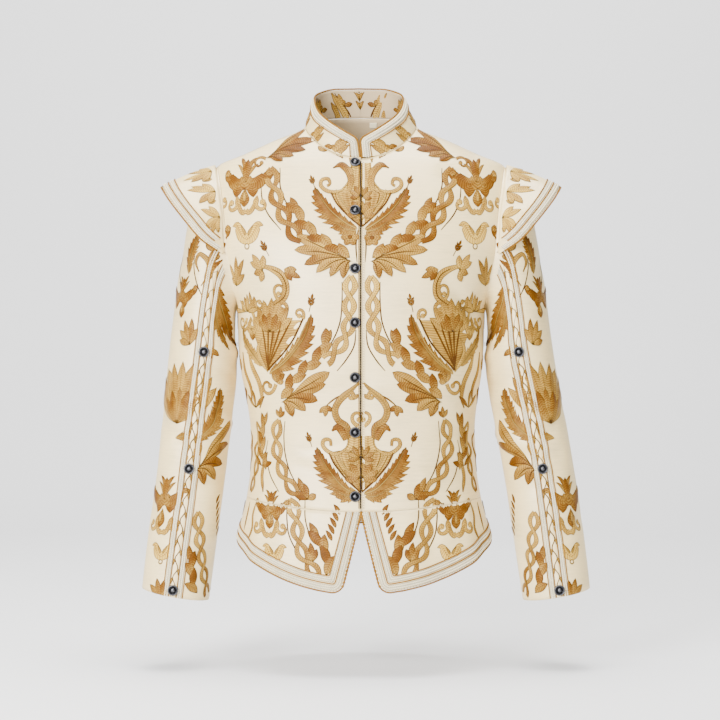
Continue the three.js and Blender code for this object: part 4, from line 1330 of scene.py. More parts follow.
class JACKET_OT_collar(bpy.types.Operator):
    """Build the stand collar, the facing inside the back neck and its ribbon tab"""

    bl_idname = "jacket.collar"
    bl_label = "Collar and Facing"

    def execute(self, context):
        half = COLLAR_EDGE.grid(np.linspace(0, COLLAR_BORDER, COLLAR_BORDER_LINES), COLLAR_STEPS)
        chart = np.concatenate([half, -half[:, ::-1][:, 1:].conj()], axis=1)
        grid = *collar_surface.at(chart.real, chart.imag), chart
        sewn_panel("collar", grid, FLAT["collar"], "stretched", ["front_right", "front_left", "back"])

        across = np.linspace(-FACING_HALF_WIDTH, FACING_HALF_WIDTH, FACING_COLUMNS)
        across, down = np.meshgrid(across, np.linspace(0, FACING_DROP, FACING_ROWS))
        angle = 180 - np.arcsin(np.minimum(1, np.abs(across) / NECK_HALF_WIDTH)) / DEGREE
        z = neck["base"](angle) - 1 - down
        inside = -CLOTH - LAID
        chart = s_of(across, z) + 1j * z
        grid = *back_surface.at(chart.real, chart.imag, inside), chart
        sewn_panel(
            "neck_facing", grid, FLAT["neck_facing"], "stretched", ["back"], "plain_facing",
            thickness=FACING, finishes=("facing", "facing"),
        )

        low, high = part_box("neck_tab")
        across, z = np.linspace(low.x, high.x, TAB_COLUMNS), np.linspace(low.z, high.z, TAB_ROWS)
        across, z = np.meshgrid(across / MM, z / MM)
        chart = s_of(across, z) + 1j * z
        grid = *back_surface.at(chart.real, chart.imag, inside - FACING - LAID), chart
        sewn_panel(
            "neck_tab", grid, FLAT["neck_tab"], "stretched", ["neck_facing"], "tab_ribbon", "ribbon",
            thickness=TAB, finishes=("tab", "tab"),
        )
        return {"FINISHED"}


def raised_strip(name, lines, heights, finish):
    """A strip along a path, from lines of points across it with a height for each."""
    rows = [point + normal * height for (point, normal), height in zip(lines, heights)]
    points = np.array(rows)
    count, length = points.shape[:2]
    flat = points.reshape(-1, 3)
    normals = np.array([normal for _, normal in lines]).reshape(-1, 3)
    quads = turned_out(grid_faces(count, length), flat, normals)
    steps = np.linalg.norm(np.diff(points[count // 2], axis=0), axis=1)
    run = np.concatenate([[0], np.cumsum(steps)])
    across = np.linspace(0, 1, count)
    uv = np.stack([np.broadcast_to(run, (count, length)), np.repeat(across[:, None], length, 1)], -1)
    tone = np.full(count * length, 0.35)
    return make_object(name, flat, quads.tolist(), (finish,), ("thread", uv.reshape(-1, 2)), {"tone": tone})


def row_tree(finish):
    """Geometry nodes that lay small rounded grains along lines, each turned to the surface."""
    tree = bpy.data.node_groups.new(f"grains_of_{finish}", "GeometryNodeTree")
    sockets = tree.interface
    sockets.new_socket("Lines", in_out="INPUT", socket_type="NodeSocketGeometry")
    for label in ("Pitch", "Length", "Width", "Height"):
        sockets.new_socket(label, in_out="INPUT", socket_type="NodeSocketFloat")
    sockets.new_socket("Grains", in_out="OUTPUT", socket_type="NodeSocketGeometry")
    nodes, links = tree.nodes, tree.links

    def node(kind, values=None, **settings):
        made = nodes.new(kind)
        for label, value in settings.items():
            setattr(made, label, value)
        for key, value in (values or {}).items():
            if isinstance(value, bpy.types.NodeSocket):
                links.new(value, made.inputs[key])
            else:
                made.inputs[key].default_value = value
        return made

    given = node("NodeGroupInput").outputs
    curve_of = node("GeometryNodeMeshToCurve", {"Mesh": given["Lines"]})
    spaced = node(
        "GeometryNodeResampleCurve", {"Curve": curve_of.outputs[0], "Length": given["Pitch"]}, mode="LENGTH"
    )
    grain = node("GeometryNodeMeshIcoSphere", {"Radius": 0.5, "Subdivisions": 1})
    up = node("GeometryNodeInputNamedAttribute", {"Name": "up"}, data_type="FLOAT_VECTOR")
    slant = node("GeometryNodeInputNamedAttribute", {"Name": "slant"}, data_type="FLOAT")
    along = node("GeometryNodeInputTangent")
    stand = node(
        "FunctionNodeAxesToRotation",
        {"Primary Axis": up.outputs[0], "Secondary Axis": along.outputs[0]},
        primary_axis="Z",
        secondary_axis="X",
    )
    angles = node("ShaderNodeCombineXYZ", {"Z": slant.outputs[0]})
    lean = node("FunctionNodeEulerToRotation", {0: angles.outputs[0]})
    turned = node(
        "FunctionNodeRotateRotation",
        {"Rotation": stand.outputs[0], "Rotate By": lean.outputs[0]},
        rotation_space="LOCAL",
    )
    size = node("ShaderNodeCombineXYZ", {"X": given["Length"], "Y": given["Width"], "Z": given["Height"]})
    placed = node(
        "GeometryNodeInstanceOnPoints",
        {
            "Points": spaced.outputs[0],
            "Instance": grain.outputs[0],
            "Rotation": turned.outputs[0],
            "Scale": size.outputs[0],
        },
    )
    real = node("GeometryNodeRealizeInstances", {"Geometry": placed.outputs[0]})
    soft = node("GeometryNodeSetShadeSmooth", {"Geometry": real.outputs[0], "Shade Smooth": True})
    painted = node("GeometryNodeSetMaterial", {"Geometry": soft.outputs[0], "Material": finish_of(finish)})
    node("NodeGroupOutput", {0: painted.outputs[0]})
    return tree


ROW_TREES = {}
# A grain's length, width and height
BRAID_LOOP = (4.0, 1.7, 1.7)
CORD_STRAND = (3.0, 1.35, 1.1)
BEAD = (1.25, 1.25, 1.1)
BAND_STITCH = (2.4, 0.8, 0.6)
EDGE_STITCH = (1.9, 0.6, 0.5)
PICOT = (4.9, 4.2, 2.6)


def laid(line, lift, slant=0):
    """A line of points and normals, raised by lift, for grains at a slant in degrees."""
    point, normal = line
    return point + normal * lift, normal, slant


def grain_rows(name, lines, pitch, size, finish, slot):
    """Grains along laid lines, as a plain mesh piece. size is a grain's length, width and height."""
    points, ups, slants, edges = [], [], [], []
    for line, normals, slant in lines:
        start = sum(len(part) for part in points)
        points.append(line)
        ups.append(normals)
        slants.append(np.full(len(line), slant * DEGREE))
        edges += [(start + i, start + i + 1) for i in range(len(line) - 1)]
    mesh = bpy.data.meshes.new(name)
    mesh.from_pydata((np.concatenate(points) * MM).tolist(), edges, [])
    up = mesh.attributes.new("up", "FLOAT_VECTOR", "POINT")
    up.data.foreach_set("vector", np.concatenate(ups).astype(np.float32).ravel())
    lean = mesh.attributes.new("slant", "FLOAT", "POINT")
    lean.data.foreach_set("value", np.concatenate(slants).astype(np.float32))
    made = bpy.data.objects.new(name, mesh)
    bpy.context.scene.collection.objects.link(made)
    if finish not in ROW_TREES:
        ROW_TREES[finish] = row_tree(finish)
    tree = ROW_TREES[finish]
    modifier = made.modifiers.new("grains", "NODES")
    modifier.node_group = tree
    named = {item.name: item.identifier for item in tree.interface.items_tree}
    for label, value in zip(("Pitch", "Length", "Width", "Height"), (pitch / MM, *size)):
        modifier[named[label]] = value * MM
    evaluated = made.evaluated_get(bpy.context.evaluated_depsgraph_get())
    plain = bpy.data.meshes.new_from_object(evaluated)
    plain.name = name
    made.modifiers.remove(modifier)
    made.data = plain
    bpy.data.meshes.remove(mesh)
    if not plain.materials:
        plain.materials.append(finish_of(finish))
    return settle(made, slot)


# Heights across a braid, and its rows of loops as a share of its width with a slant
BRAID_PROFILE = (0.0, 0.75, 1.0, 0.8, 1.0, 0.75, 0.0)
BRAID_LOOPS = ((0.29, 38), (0.71, -38))
STRIP_PROFILE = (0.1, 0.9, 1.1, 0.9, 0.1)
# Insets of the gold lines beside the braids, and offsets of those beside the sleeve's braids
GOLD_LINES = (9.9, 19.7)
SLEEVE_GOLD_LINES = (-13.6, -5.1, 5.1, 13.6)
WING_CORNER = 0.86  # share of the wing where the inner trims end


def white_braid(node, line_at, span):
    """A flat braid with two rows of slanted loops, between two offsets, on a ground darkened as painted
    shade.
    """
    offsets = np.linspace(*span, len(BRAID_PROFILE))
    lines = [line_at(offset) for offset in offsets]
    # The ground shows between and beside the loops in the darker copy of the braid: painted shade
    settle(raised_strip(f"{node}_sewn", lines, BRAID_PROFILE, "braid_ground_painted_shade"), "white_braid", node)
    rows = [laid(line_at(lerp(*span, share)), 0.95, slant) for share, slant in BRAID_LOOPS]
    pitch = bpy.context.scene.jacket_sizes.plait
    grain_rows(f"{node}_sewn_loops", rows, pitch, BRAID_LOOP, "braid", "white_braid")


def gold_line(name, line_at, offsets, size=2.1, lift=0.8):
    """Thin twisted cords laid along a trim."""
    rows = [laid(line_at(offset), lift, 32) for offset in offsets]
    grain_rows(name, rows, 1.5 * MM, (2.4, size * 0.9, size), "cord", "gold_cord")


CORD_SIDES = 8


def edge_cord(node, line_at):
    """The twisted cord that finishes a free edge, beside the cloth."""
    point, normal = line_at(0)
    outward = point - line_at(4)[0]
    outward = unit(outward - normal * (outward * normal).sum(-1, keepdims=True))
    centre = point + outward * (CORD / 2 + LAID) - normal * CLOTH / 2
    turn = np.linspace(0, 360, CORD_SIDES + 1)[:-1] * DEGREE
    ring = outward[:, None] * np.cos(turn)[None, :, None] + normal[:, None] * np.sin(turn)[None, :, None]
    flat = (centre[:, None] + ring * (CORD / 2 - 0.35)).reshape(-1, 3)
    away = flat - np.repeat(centre, CORD_SIDES, axis=0)
    faces = turned_out(grid_faces(len(centre), CORD_SIDES, closed=True), flat, away).tolist()
    faces += [list(range(CORD_SIDES)), list(range(len(flat) - CORD_SIDES, len(flat)))]
    core = make_object(f"{node}_twisted", flat, faces, ("cord",), ("thread", np.zeros((len(flat), 2))))
    settle(core, "gold_cord", node)
    rows = []
    for phase in (0, 90, 180, 270):
        way = outward * math.cos(phase * DEGREE) + normal * math.sin(phase * DEGREE)
        rows.append((centre + way * (CORD / 2 - 0.55), way, 42))
    pitch = bpy.context.scene.jacket_sizes.twist
    grain_rows(f"{node}_twisted_strands", rows, pitch, CORD_STRAND, "cord", "gold_cord")


def satin_strip(node, lines, heights):
    """A narrow strip of satin sewn on, in place of its solid."""
    strip = raised_strip(f"{node}_sewn", lines, heights, "satin")
    strip.data.uv_layers[0].name = "cloth"
    settle(strip, SATIN, node)


class JACKET_OT_trims(bpy.types.Operator):
    """Sew the white braids and gold cords on the free edges and the sleeves"""

    bl_idname = "jacket.trims"
    bl_label = "Braids and Cords"

    def execute(self, context):
        white_braid("peplum_braid_outer", peplum_line, OUTER_BRAID)
        white_braid("peplum_braid_inner", peplum_line, INNER_BRAID)
        gold_line("peplum_gold_lines", peplum_line, GOLD_LINES)
        edge_cord("peplum_cord", peplum_line)
        white_braid("collar_braid", collar_line, COLLAR_BRAID)
        gold_line("collar_gold_line", collar_line, GOLD_LINES[:1], 2.0)
        edge_cord("collar_cord", collar_line)
        for side in SIDES:
            def along_wing(inset, side=side):
                return wing_line(side, inset)

            def inner_wing(inset, side=side):
                return wing_line(side, inset, WING_CORNER)

            def down_sleeve(offset, side=side):
                return sleeve_line(side, offset)

            white_braid(f"wing_braid_outer_{side}", along_wing, OUTER_BRAID)
            white_braid(f"wing_braid_inner_{side}", inner_wing, INNER_BRAID)
            gold_line(f"wing_gold_lines_{side}", inner_wing, GOLD_LINES)
            edge_cord(f"wing_cord_{side}", along_wing)
            for row, span in SLEEVE_BRAIDS.items():
                white_braid(f"sleeve_braid_{row}_{side}", down_sleeve, span)
            lines = [down_sleeve(offset) for offset in np.linspace(*SLEEVE_STRIP, len(STRIP_PROFILE))]
            satin_strip(f"sleeve_strip_{side}", lines, STRIP_PROFILE)
            gold_line(f"sleeve_gold_lines_{side}", down_sleeve, SLEEVE_GOLD_LINES, 1.7, 0.6)
        return {"FINISHED"}


def turned_points(profile, sides, centre, normal):
    """A lathe's rings round a normal. profile has a radius and a height in each row."""
    helper = np.array([0.0, 0, 1]) if abs(normal[2]) < 0.9 else np.array([1.0, 0, 0])
    right = unit(np.cross(helper, normal))
    ahead = np.cross(normal, right)
    turn = np.arange(sides) * 2 * math.pi / sides
    spokes = np.cos(turn)[:, None] * right + np.sin(turn)[:, None] * ahead
    return np.array([centre + spokes * radius + normal * height for radius, height in profile])


# A button's radius and height from its back to its middle, and how brightly it is rubbed there
BUTTON_PROFILE = (
    (2.2, 0.0, 0.1),
    (2.2, 0.9, 0.1),
    (6.3, 0.9, 0.2),
    (7.3, 1.3, 0.5),
    (7.4, 2.0, 0.7),
    (7.0, 2.9, 0.95),
    (6.3, 3.3, 1.0),
    (5.6, 3.0, 0.6),
    (5.1, 2.2, 0.0),
    (4.2, 1.9, 0.0),
    (3.5, 2.2, 0.15),
    (3.1, 3.0, 0.55),
    (2.5, 3.9, 0.9),
    (1.5, 4.5, 1.0),
    (0.02, 4.7, 1.0),
)
BUTTON_SIDES = 28
BEAD_RING = (4.55, 2.35)  # radius and height of the ring of beads
BEAD_RUBBED = 0.75


def pewter_button(node, place, seat):
    """A turned button with a beaded rim and a raised centre."""
    point, normal = (part.reshape(-1, 3)[0] for part in place)
    centre = point + normal * seat
    rings = turned_points([row[:2] for row in BUTTON_PROFILE], BUTTON_SIDES, centre, normal)
    faces = grid_faces(len(rings), BUTTON_SIDES, closed=True).tolist()
    faces.append(list(range(BUTTON_SIDES))[::-1])
    last = (len(rings) - 1) * BUTTON_SIDES
    faces.append([last + i for i in range(BUTTON_SIDES)])
    rubbed = np.repeat([row[2] for row in BUTTON_PROFILE], BUTTON_SIDES)
    name = f"{node}_turned"
    disc = make_object(name, rings.reshape(-1, 3), faces, ("pewter",), None, {"rubbed": rubbed})
    settle(disc, "button_metal", node)
    circle = turned_points([BEAD_RING], 48, centre, normal)[0]
    circle = np.concatenate([circle, circle[:1]])
    rows = [(circle, np.broadcast_to(normal, circle.shape), 0)]
    beads = grain_rows(f"{name}_beads", rows, 1.6 * MM, BEAD, "pewter", "button_metal")
    attribute = beads.data.attributes.new("rubbed", "FLOAT", "POINT")
    attribute.data.foreach_set("value", np.full(len(beads.data.vertices), BEAD_RUBBED, np.float32))


class JACKET_OT_buttons(bpy.types.Operator):
    """Sew on the pewter buttons of the front and the sleeves"""

    bl_idname = "jacket.buttons"
    bl_label = "Buttons"

    def execute(self, context):
        for i, z in enumerate(FRONT_BUTTONS, 1):
            place = front_surface.at(s_of(np.array([BUTTON_X]), np.array([z])), np.array([z]))
            pewter_button(f"front_button_{i}", place, LAID)
        for side in SIDES:
            point, normal = sleeve_line(side, 0.0, steps=900)
            for i, z in enumerate(SLEEVE_BUTTONS, 1):
                nearest = np.argmin(np.abs(point[:, 2] - z))
                place = point[nearest], normal[nearest]
                pewter_button(f"sleeve_button_{side}_{i}", place, STRIP_BUTTON_SEAT)
        return {"FINISHED"}


# Needlework. Motifs are drawn in a surface's chart with complex numbers, in millimetres.
class Stroke:
    """A raised strip of thread between two edges of chart places, from a motif's base to its tip."""

    def __init__(self, left, right, tone, lift=1.0, rise=0.0):
        self.left, self.right = np.asarray(left, complex), np.asarray(right, complex)
        self.tone, self.lift, self.rise = tone, lift, rise

    def moved(self, change):
        return Stroke(change(self.left), change(self.right), self.tone, self.lift, self.rise)


def mirrored(strokes, axis=0.0):
    return [stroke.moved(lambda place: 2 * axis - place.conj()) for stroke in strokes]


def run_of(spine):
    return np.concatenate([[0], np.cumsum(np.abs(np.diff(spine)))])


def directions(spine):
    ahead = np.gradient(spine)
    return ahead / np.maximum(np.abs(ahead), 1e-9)


def along(spine, half, tone, lift=1.0, rise=0.0):
    """The stroke with a half width to either side of a spine."""
    across = 1j * directions(spine) * half
    return Stroke(spine + across, spine - across, tone, lift, rise)


def wound(start, headings, length):
    """A spine with an even step at each of its headings, in degrees."""
    ways = np.exp(1j * headings * DEGREE)
    return start + np.concatenate([[0], np.cumsum(ways)]) * length / len(headings)


def arc(start, heading, length, turn, steps=9):
    """A spine that leaves start at a heading, in degrees, and turns evenly."""
    t = (np.arange(steps) + 0.5) / steps
    return wound(start, heading + turn * t, length)


def through(points, step=3.0):
    """A smooth spine through complex places, with even steps."""
    points = np.asarray(points, complex)
    if len(points) == 2:
        points = np.array([points[0], (points[0] + points[1]) / 2, points[1]])
    padded = np.concatenate([[2 * points[0] - points[1]], points, [2 * points[-1] - points[-2]]])
    t = np.linspace(0, 1, 12, endpoint=False)
    runs = []
    for a, b, c, d in zip(padded, padded[1:], padded[2:], padded[3:]):
        square, cube = 2 * a - 5 * b + 4 * c - d, 3 * b - a - 3 * c + d
        runs.append(0.5 * (2 * b + (c - a) * t + square * t**2 + cube * t**3))
    line = np.concatenate([*runs, points[-1:]])
    run = run_of(line)
    even = np.linspace(0, run[-1], max(4, int(run[-1] / step) + 1))
    return np.interp(even, run, line.real) + 1j * np.interp(even, run, line.imag)


def along_path(path, distance):
    """Place and heading, in degrees, at a distance along a spine."""
    run = run_of(path)
    place = np.interp(distance, run, path.real) + 1j * np.interp(distance, run, path.imag)
    i = int(np.clip(np.searchsorted(run, distance) - 1, 0, len(path) - 2))
    return place, np.angle(path[i + 1] - path[i]) / DEGREE


def leaf_half(width, count, belly):
    """Half widths of a pointed leaf that is widest at the share belly of its length."""
    t = np.linspace(0, 1, count)
    return width / 2 * np.sin(math.pi * t ** (math.log(0.5) / math.log(belly))) ** 0.8


def leaf(start, heading, length, width, turn=20, tone=0.5, lift=1.0, belly=0.45, rise=0.0):
    spine = arc(start, heading - turn / 2, length, turn)
    return [along(spine, leaf_half(width, len(spine), belly), tone, lift, rise)]


def dot(centre, radius, tone=0.4, lift=1.1):
    t = np.linspace(-1, 1, 7)
    return [along(centre + 1j * t * radius, radius * np.sqrt(1 - t * t), tone, lift)]


def band(points, width, tone=0.45, tips=(0.3, 0.3), lift=1.0):
    """A thread band through places, which narrows to shares of its width at the tips."""
    spine = through(points, 2.6)
    t = np.linspace(0, 1, len(spine))
    ends = np.minimum(lerp(tips[0], 1, smooth(t, 0, 0.3)), lerp(tips[1], 1, smooth(1 - t, 0, 0.3)))
    return [along(spine, width / 2 * ends, tone, lift)]


def thin_line(points, tone=1.15, width=2.0):
    return band(points, width, tone, (0.6, 0.6), 1.0)


def curl(start, heading, length, turn, width, tone=0.45):
    """A scroll that winds in to a round end."""
    steps = max(10, int(length / 2.2))
    t = (np.arange(steps) + 0.5) / steps
    spine = wound(start, heading + turn * t**1.6, length)
    half = width / 2 * np.linspace(1, 0.6, len(spine))
    return [along(spine, half, tone)] + dot(spine[-1], width * 0.66, tone - 0.1)


def swoop(base, axis, tip, width, tone, lift=1.0, belly=0.64):
    """A leaf that leaves its base along an axis and bends to its tip."""
    t = np.linspace(0.1, 1, 13)
    bend = base + axis * abs(tip - base) * 0.55
    spine = (1 - t) ** 2 * base + 2 * t * (1 - t) * bend + t * t * tip
    half = leaf_half(width, len(spine), belly) ** lerp(1.5, 0.75, t) * (width / 2) ** lerp(-0.5, 0.25, t)
    return [along(spine, half, tone, lift)]


def spray(base, tips, width, tone=0.55):
    """Swooping leaves from one base, the first of them straight, each with a fine vein."""
    axis = (tips[0] - base) / abs(tips[0] - base)
    strokes = []
    for i, tip in enumerate(tips):
        shade = tone + 0.14 * (i % 3 - 1)
        strokes += swoop(base, axis, tip, width * (1 - 0.05 * i), shade, 1 + 0.12 * i)
        strokes += swoop(base, axis, lerp(base, tip, 0.84), 1.5, 1.1, 1.45 + 0.12 * i, 0.5)
    return strokes


def cluster(base, tips, width, tone=0.5):
    """Straight pointed leaves from one base."""
    strokes = []
    for i, tip in enumerate(tips):
        chord = tip - base
        shade = tone + 0.12 * (i % 3 - 1)
        heading = np.angle(chord) / DEGREE
        strokes += leaf(base, heading, abs(chord), width, 16 * (i % 2) - 8, shade, 1 + 0.12 * i, 0.56)
    return strokes


def garland(path, length, width, pitch, tone=0.62):
    """A row of overlapping pointed leaves that lean out to alternate sides."""
    path = through(path)
    total = run_of(path)[-1]
    strokes = []
    for i, distance in enumerate(np.arange(0, total - length * 0.4, pitch)):
        place, heading = along_path(path, distance)
        side = 1 if i % 2 else -1
        lean = heading + side * 19
        strokes += leaf(place, lean, length, width, side * 34, tone + 0.1 * side, 1, 0.5, 0.7)
    place, heading = along_path(path, total - length * 0.4)
    return strokes + leaf(place, heading, length * 0.9, width * 0.8, 10, tone)


def frond(path, reach, teeth, tone=0.6, inner=1.0):
    """A serrated leaf: toothed blades to either side of a midrib, with a dark slit at each notch."""
    path = through(path, 1.4)
    share = run_of(path) / run_of(path)[-1]
    ahead = directions(path)
    swell = reach * np.sin(math.pi * (0.1 + 0.9 * share) ** 0.85) ** 0.75
    tooth = 0.58 + 0.42 * ((share * teeth) % 1) ** 0.8
    outward, inward = (0.82j + 0.62) * ahead, (-0.82j + 0.62) * ahead
    left, right = path + outward * swell * tooth, path + inward * swell * tooth * inner
    strokes = [Stroke(left, path, tone), Stroke(path, right, tone + 0.08)]
    for k in range(1, int(teeth)):
        i = int(np.searchsorted(share, k / teeth))
        for way, size in ((outward, 1), (inward, inner)):
            notch = path[i] + way[i] * swell[i] * size * np.array([0.12, 0.35, 0.6])
            strokes.append(along(notch, np.array([0.3, 0.55, 0.75]), 1.35, 1.25))
    strokes.append(along(path, 1.1 * (1.1 - 0.7 * share), -0.1, 1.5))
    return strokes


def guilloche(path, width, pitch, strand, tone=0.5):
    """Two interlaced strands that pass over and under each other."""
    path = through(path, 1.8)
    phase = math.pi * run_of(path) / pitch
    across = 1j * directions(path)
    strokes = []
    for side in (-1, 1):
        swing = side * width / 2 * np.sin(phase)
        half = strand / 2 * (0.85 + 0.25 * np.sin(phase) ** 2)
        strokes.append(along(path + across * swing, half, tone + 0.08 * side, 1 + 0.4 * side * np.cos(phase)))
    return strokes


def sprig(base, heading, size, tone=0.75):
    """A thin stem with two pairs of buds and one at its end."""
    stem = arc(base, heading, size * 0.8, 8, 5)
    strokes = [along(stem, 0.6, tone + 0.3, 0.7)]
    for distance in (size * 0.4, size * 0.62):
        place, way = along_path(stem, distance)
        for side in (-1, 1):
            strokes += leaf(place, way + side * 34, size * 0.42, size * 0.17, 0, tone, 0.9)
    return strokes + leaf(stem[-1], heading, size * 0.42, size * 0.2, 0, tone, 0.9)


def blossom(centre, radius, petals=5, tone=0.4, turn=90):
    strokes = []
    for i in range(petals):
        strokes += leaf(centre, turn + i * 360 / petals, radius, radius * 0.72, 0, tone, 1, 0.62)
    return strokes + dot(centre, radius * 0.24, 0.9, 1.4)


def doubled(half, centre):
    """A motif's half with its mirror image about the upright through its centre."""
    return half + mirrored(half, centre.real)


def crown(centre, size, tone=0.72):
    """A traditional crown palmette: a bulb between two knobbed lobes, with a foot and crescents."""
    def at(x, y):
        return centre + size * (x + 1j * y)

    lobe = [at(-0.02, -0.12), at(-0.2, -0.26), at(-0.46, -0.2), at(-0.7, 0.0)]
    half = band(lobe, size * 0.44, tone, (1, 0.8))
    half += leaf(at(-0.56, -0.1), 146, size * 0.52, size * 0.34, -24, tone + 0.06)
    half += dot(at(-0.84, 0.14), size * 0.13, tone - 0.15, 1.3)
    half += leaf(at(-0.27, -0.14), -98, size * 0.54, size * 0.44, 0, tone)
    half += leaf(at(-0.1, 0.2), 120, size * 0.56, size * 0.17, 74, tone - 0.05)
    half += leaf(at(-0.14, 0.06), 128, size * 0.5, size * 0.13, 64, tone - 0.25)
    return doubled(half, centre) + leaf(at(0, -0.22), 90, size * 0.82, size * 0.36, 0, tone, 1.15, 0.55)


def pendant(top, size, tone=0.68):
    """A pointed drop over a small bead."""
    strokes = leaf(top, -90, size, size * 0.62, 0, tone, 1, 0.6)
    return strokes + leaf(top - 0.14j * size, -90, size * 0.6, size * 0.22, 0, tone - 0.4, 1.4, 0.6)


def double_hook(centre, width, height, tone=0.3):
    """Two linked hooks with leaf tips above and curled ends below."""
    def at(x, y):
        return centre + width * x + 1j * height * y

    hook = [at(0, -0.02), at(-0.08, -0.14), at(-0.17, 0.02), at(-0.24, 0.34)]
    half = band(hook, height * 0.27, tone, (1, 0.9))
    half += leaf(at(-0.23, 0.1), 98, height * 0.62, height * 0.34, 0, tone)
    half += curl(at(-0.25, 0.25), -118, height * 0.98, -240, height * 0.24, tone)
    return doubled(half, centre)


def bird_pair(centre, width, tone=0.02):
    """Two plain birds back to back over a small ring."""
    def at(x, y):
        return centre + width * (x + 1j * y)

    body = [at(0.02, -0.24), at(-0.14, -0.16), at(-0.26, 0.02), at(-0.36, 0.17), at(-0.52, 0.14)]
    spine = through(body, 2.0)
    t = np.linspace(0, 1, len(spine))
    swell = np.interp(t, (0, 0.35, 0.62, 0.82, 1), (0.15, 0.19, 0.15, 0.09, 0.01))
    half = [along(spine, width * swell, tone)]
    half += leaf(at(-0.05, -0.14), 118, width * 0.34, width * 0.1, 20, tone + 0.35, 1.3)
    ring = at(0, -0.42) + width * 0.075 * np.exp(1j * np.linspace(0, 2 * math.pi, 13))
    return doubled(half, centre) + [along(ring, 0.9, tone + 0.3)]


def fan(centre, heading, reach, petals, spread_by, width, tone=0.3, lift=1.35):
    """A shell of petals, as a palmette has."""
    strokes = []
    for i in range(petals):
        share = i / (petals - 1) - 0.5
        size = reach * (1 - 0.5 * share * share)
        shade = tone + 0.12 * (i % 2)
        height = lift + 0.2 * (i % 2)
        strokes += leaf(centre, heading + share * spread_by, size, width, -40 * share, shade, height, 0.6)
    return strokes


def cloth_of_gold(outline, tone=0.3, ribs=4):
    """A filled half shape between an outline and the centre line, with fine raised ribs."""
    left = through(outline, 2.8)
    strokes = [Stroke(left, 1j * left.imag, tone, 0.6)]
    for i in range(ribs):
        rib = left.real * (i + 0.7) / (ribs + 0.2) + 1j * left.imag
        strokes.append(along(rib, 0.6, tone + 0.45, 1.1))
    return strokes


def vein(path, beside, tone, tips, lift):
    """A fine line along a band, a little beside its middle."""
    return band(path + beside, 1.6, tone, tips, lift)


def filled(edges, tone, lift):
    """A plain shape between two edges of as many places each, given one after the other."""
    half = len(edges) // 2
    return [Stroke(edges[:half], edges[half:], tone, lift)]


# Forms that stand at one place, and forms that go from a base to tips. All others follow a path.
PLACE_FORMS = (leaf, curl, fan, sprig, blossom, crown, pendant, double_hook, bird_pair)
BASE_FORMS = (spray, cluster)


def worked(surface, rows):
    """A motif's strokes. A row has a form, its places as pixels of the photograph, and its settings."""
    strokes = []
    for form, pixels, *settings in rows:
        if form in PLACE_FORMS:
            strokes += form(surface.seen(pixels)[0], *settings)
        elif form in BASE_FORMS:
            base, *tips = pixels
            strokes += form(surface.seen(base)[0], surface.seen(*tips), *settings)
        else:
            strokes += form(surface.seen(*pixels), *settings)
    return strokes


# On the chest, a ribbed urn with scroll handles between two serrated leaves
UPPER_URN = ((351, 162), (350, 172), (347, 182), (339, 191), (332, 194), (337, 205), (347, 216), (359, 226))
TOP_HANDLE = ((343, 190), (335, 192), (327, 191), (321, 186), (322, 180), (328, 179), (330, 184), (327, 186))
UPPER_PALMETTE = (
    (cloth_of_gold, UPPER_URN),
    (band, ((331, 193), (337, 204), (347, 215), (360, 226)), 2.2, 1.05, (1, 1), 1.5),
    (band, ((336, 190), (342, 201), (350, 210), (360, 219)), 2.4, -0.05, (1, 1), 1.4),
    (band, ((349, 190), (351, 180), (348, 171), (341, 165), (333, 168)), 10.5, 0.62, (0.7, 0.2), 1.2),
    (leaf, (352, 176), 118, 16, 8, 30, 0.4, 1.3),
    (band, TOP_HANDLE, 5.6, 0.3, (0.6, 0.7), 1.3),
    (fan, (360, 214), 140, 22, 4, 90, 9, 0.45),
    (fan, (360, 196), 140, 17, 4, 100, 7, 0.5),
    (band, ((360, 153), (356, 150), (351, 154), (350, 162)), 6.5, 0.35),
    (frond, ((357, 229), (344, 222), (332, 212), (323, 201), (315, 187)), 24, 8.5, 0.72, 0.42),
    (frond, ((356, 231), (345, 229), (334, 222)), 13, 4.5, 0.62, 0.8),
    (sprig, (315, 188), 112, 17),
    (blossom, (350, 237), 13, 6, 0.5, 120),
    (thin_line, ((358, 230), (356, 245), (357, 262))),
)

# At the waist, strapwork over a ribbed urn, between two serrated leaves
LOWER_URN = ((347, 436), (347, 444), (342, 450), (331, 453), (336, 465), (347, 479), (359, 491))
STRAPWORK = ((359, 383), (350, 391), (340, 400), (335, 410), (338, 420), (347, 427), (348, 438))
LOWER_HANDLE = ((346, 449), (337, 454), (329, 452), (323, 446), (324, 440), (330, 440), (331, 446))
LOWER_PALMETTE = (
    (cloth_of_gold, LOWER_URN),
    (band, ((329, 453), (335, 465), (346, 479), (360, 492)), 2.2, 1.05, (1, 1), 1.5),
    (band, ((336, 452), (342, 463), (350, 473), (360, 483)), 2.4, -0.05, (1, 1), 1.4),
    (band, STRAPWORK, 9.5, 0.5, (0.4, 0.9), 1.1),
    (vein, STRAPWORK, 0.4, -0.15, (0.6, 0.9), 1.5),
    (curl, (358, 426), 150, 38, -300, 6.0, 0.3),
    (band, ((346, 440), (342, 432), (337, 427), (332, 431)), 9.5, 0.72, (0.8, 0.3), 1.3),
    (band, LOWER_HANDLE, 5.6, 0.3, (0.6, 0.7), 1.3),
    (fan, (360, 478), 140, 24, 4, 90, 10, 0.45),
    (fan, (360, 458), 140, 19, 4, 100, 7, 0.5),
    (frond, ((358, 494), (346, 489), (335, 478), (325, 464), (317, 447)), 25, 9.5, 0.7, 0.42),
    (frond, ((357, 497), (346, 496), (336, 490)), 13, 4.5, 0.62, 0.8),
    (sprig, (312, 447), 105, 18),
    (cluster, ((327, 405), (319, 413), (325, 417), (331, 412)), 7.5, 0.6),
    (thin_line, ((327, 405), (333, 400), (339, 396)), 0.7, 2.4),
    (cluster, ((354, 400), (348, 396), (352, 390), (358, 394)), 6, 0.35),
)

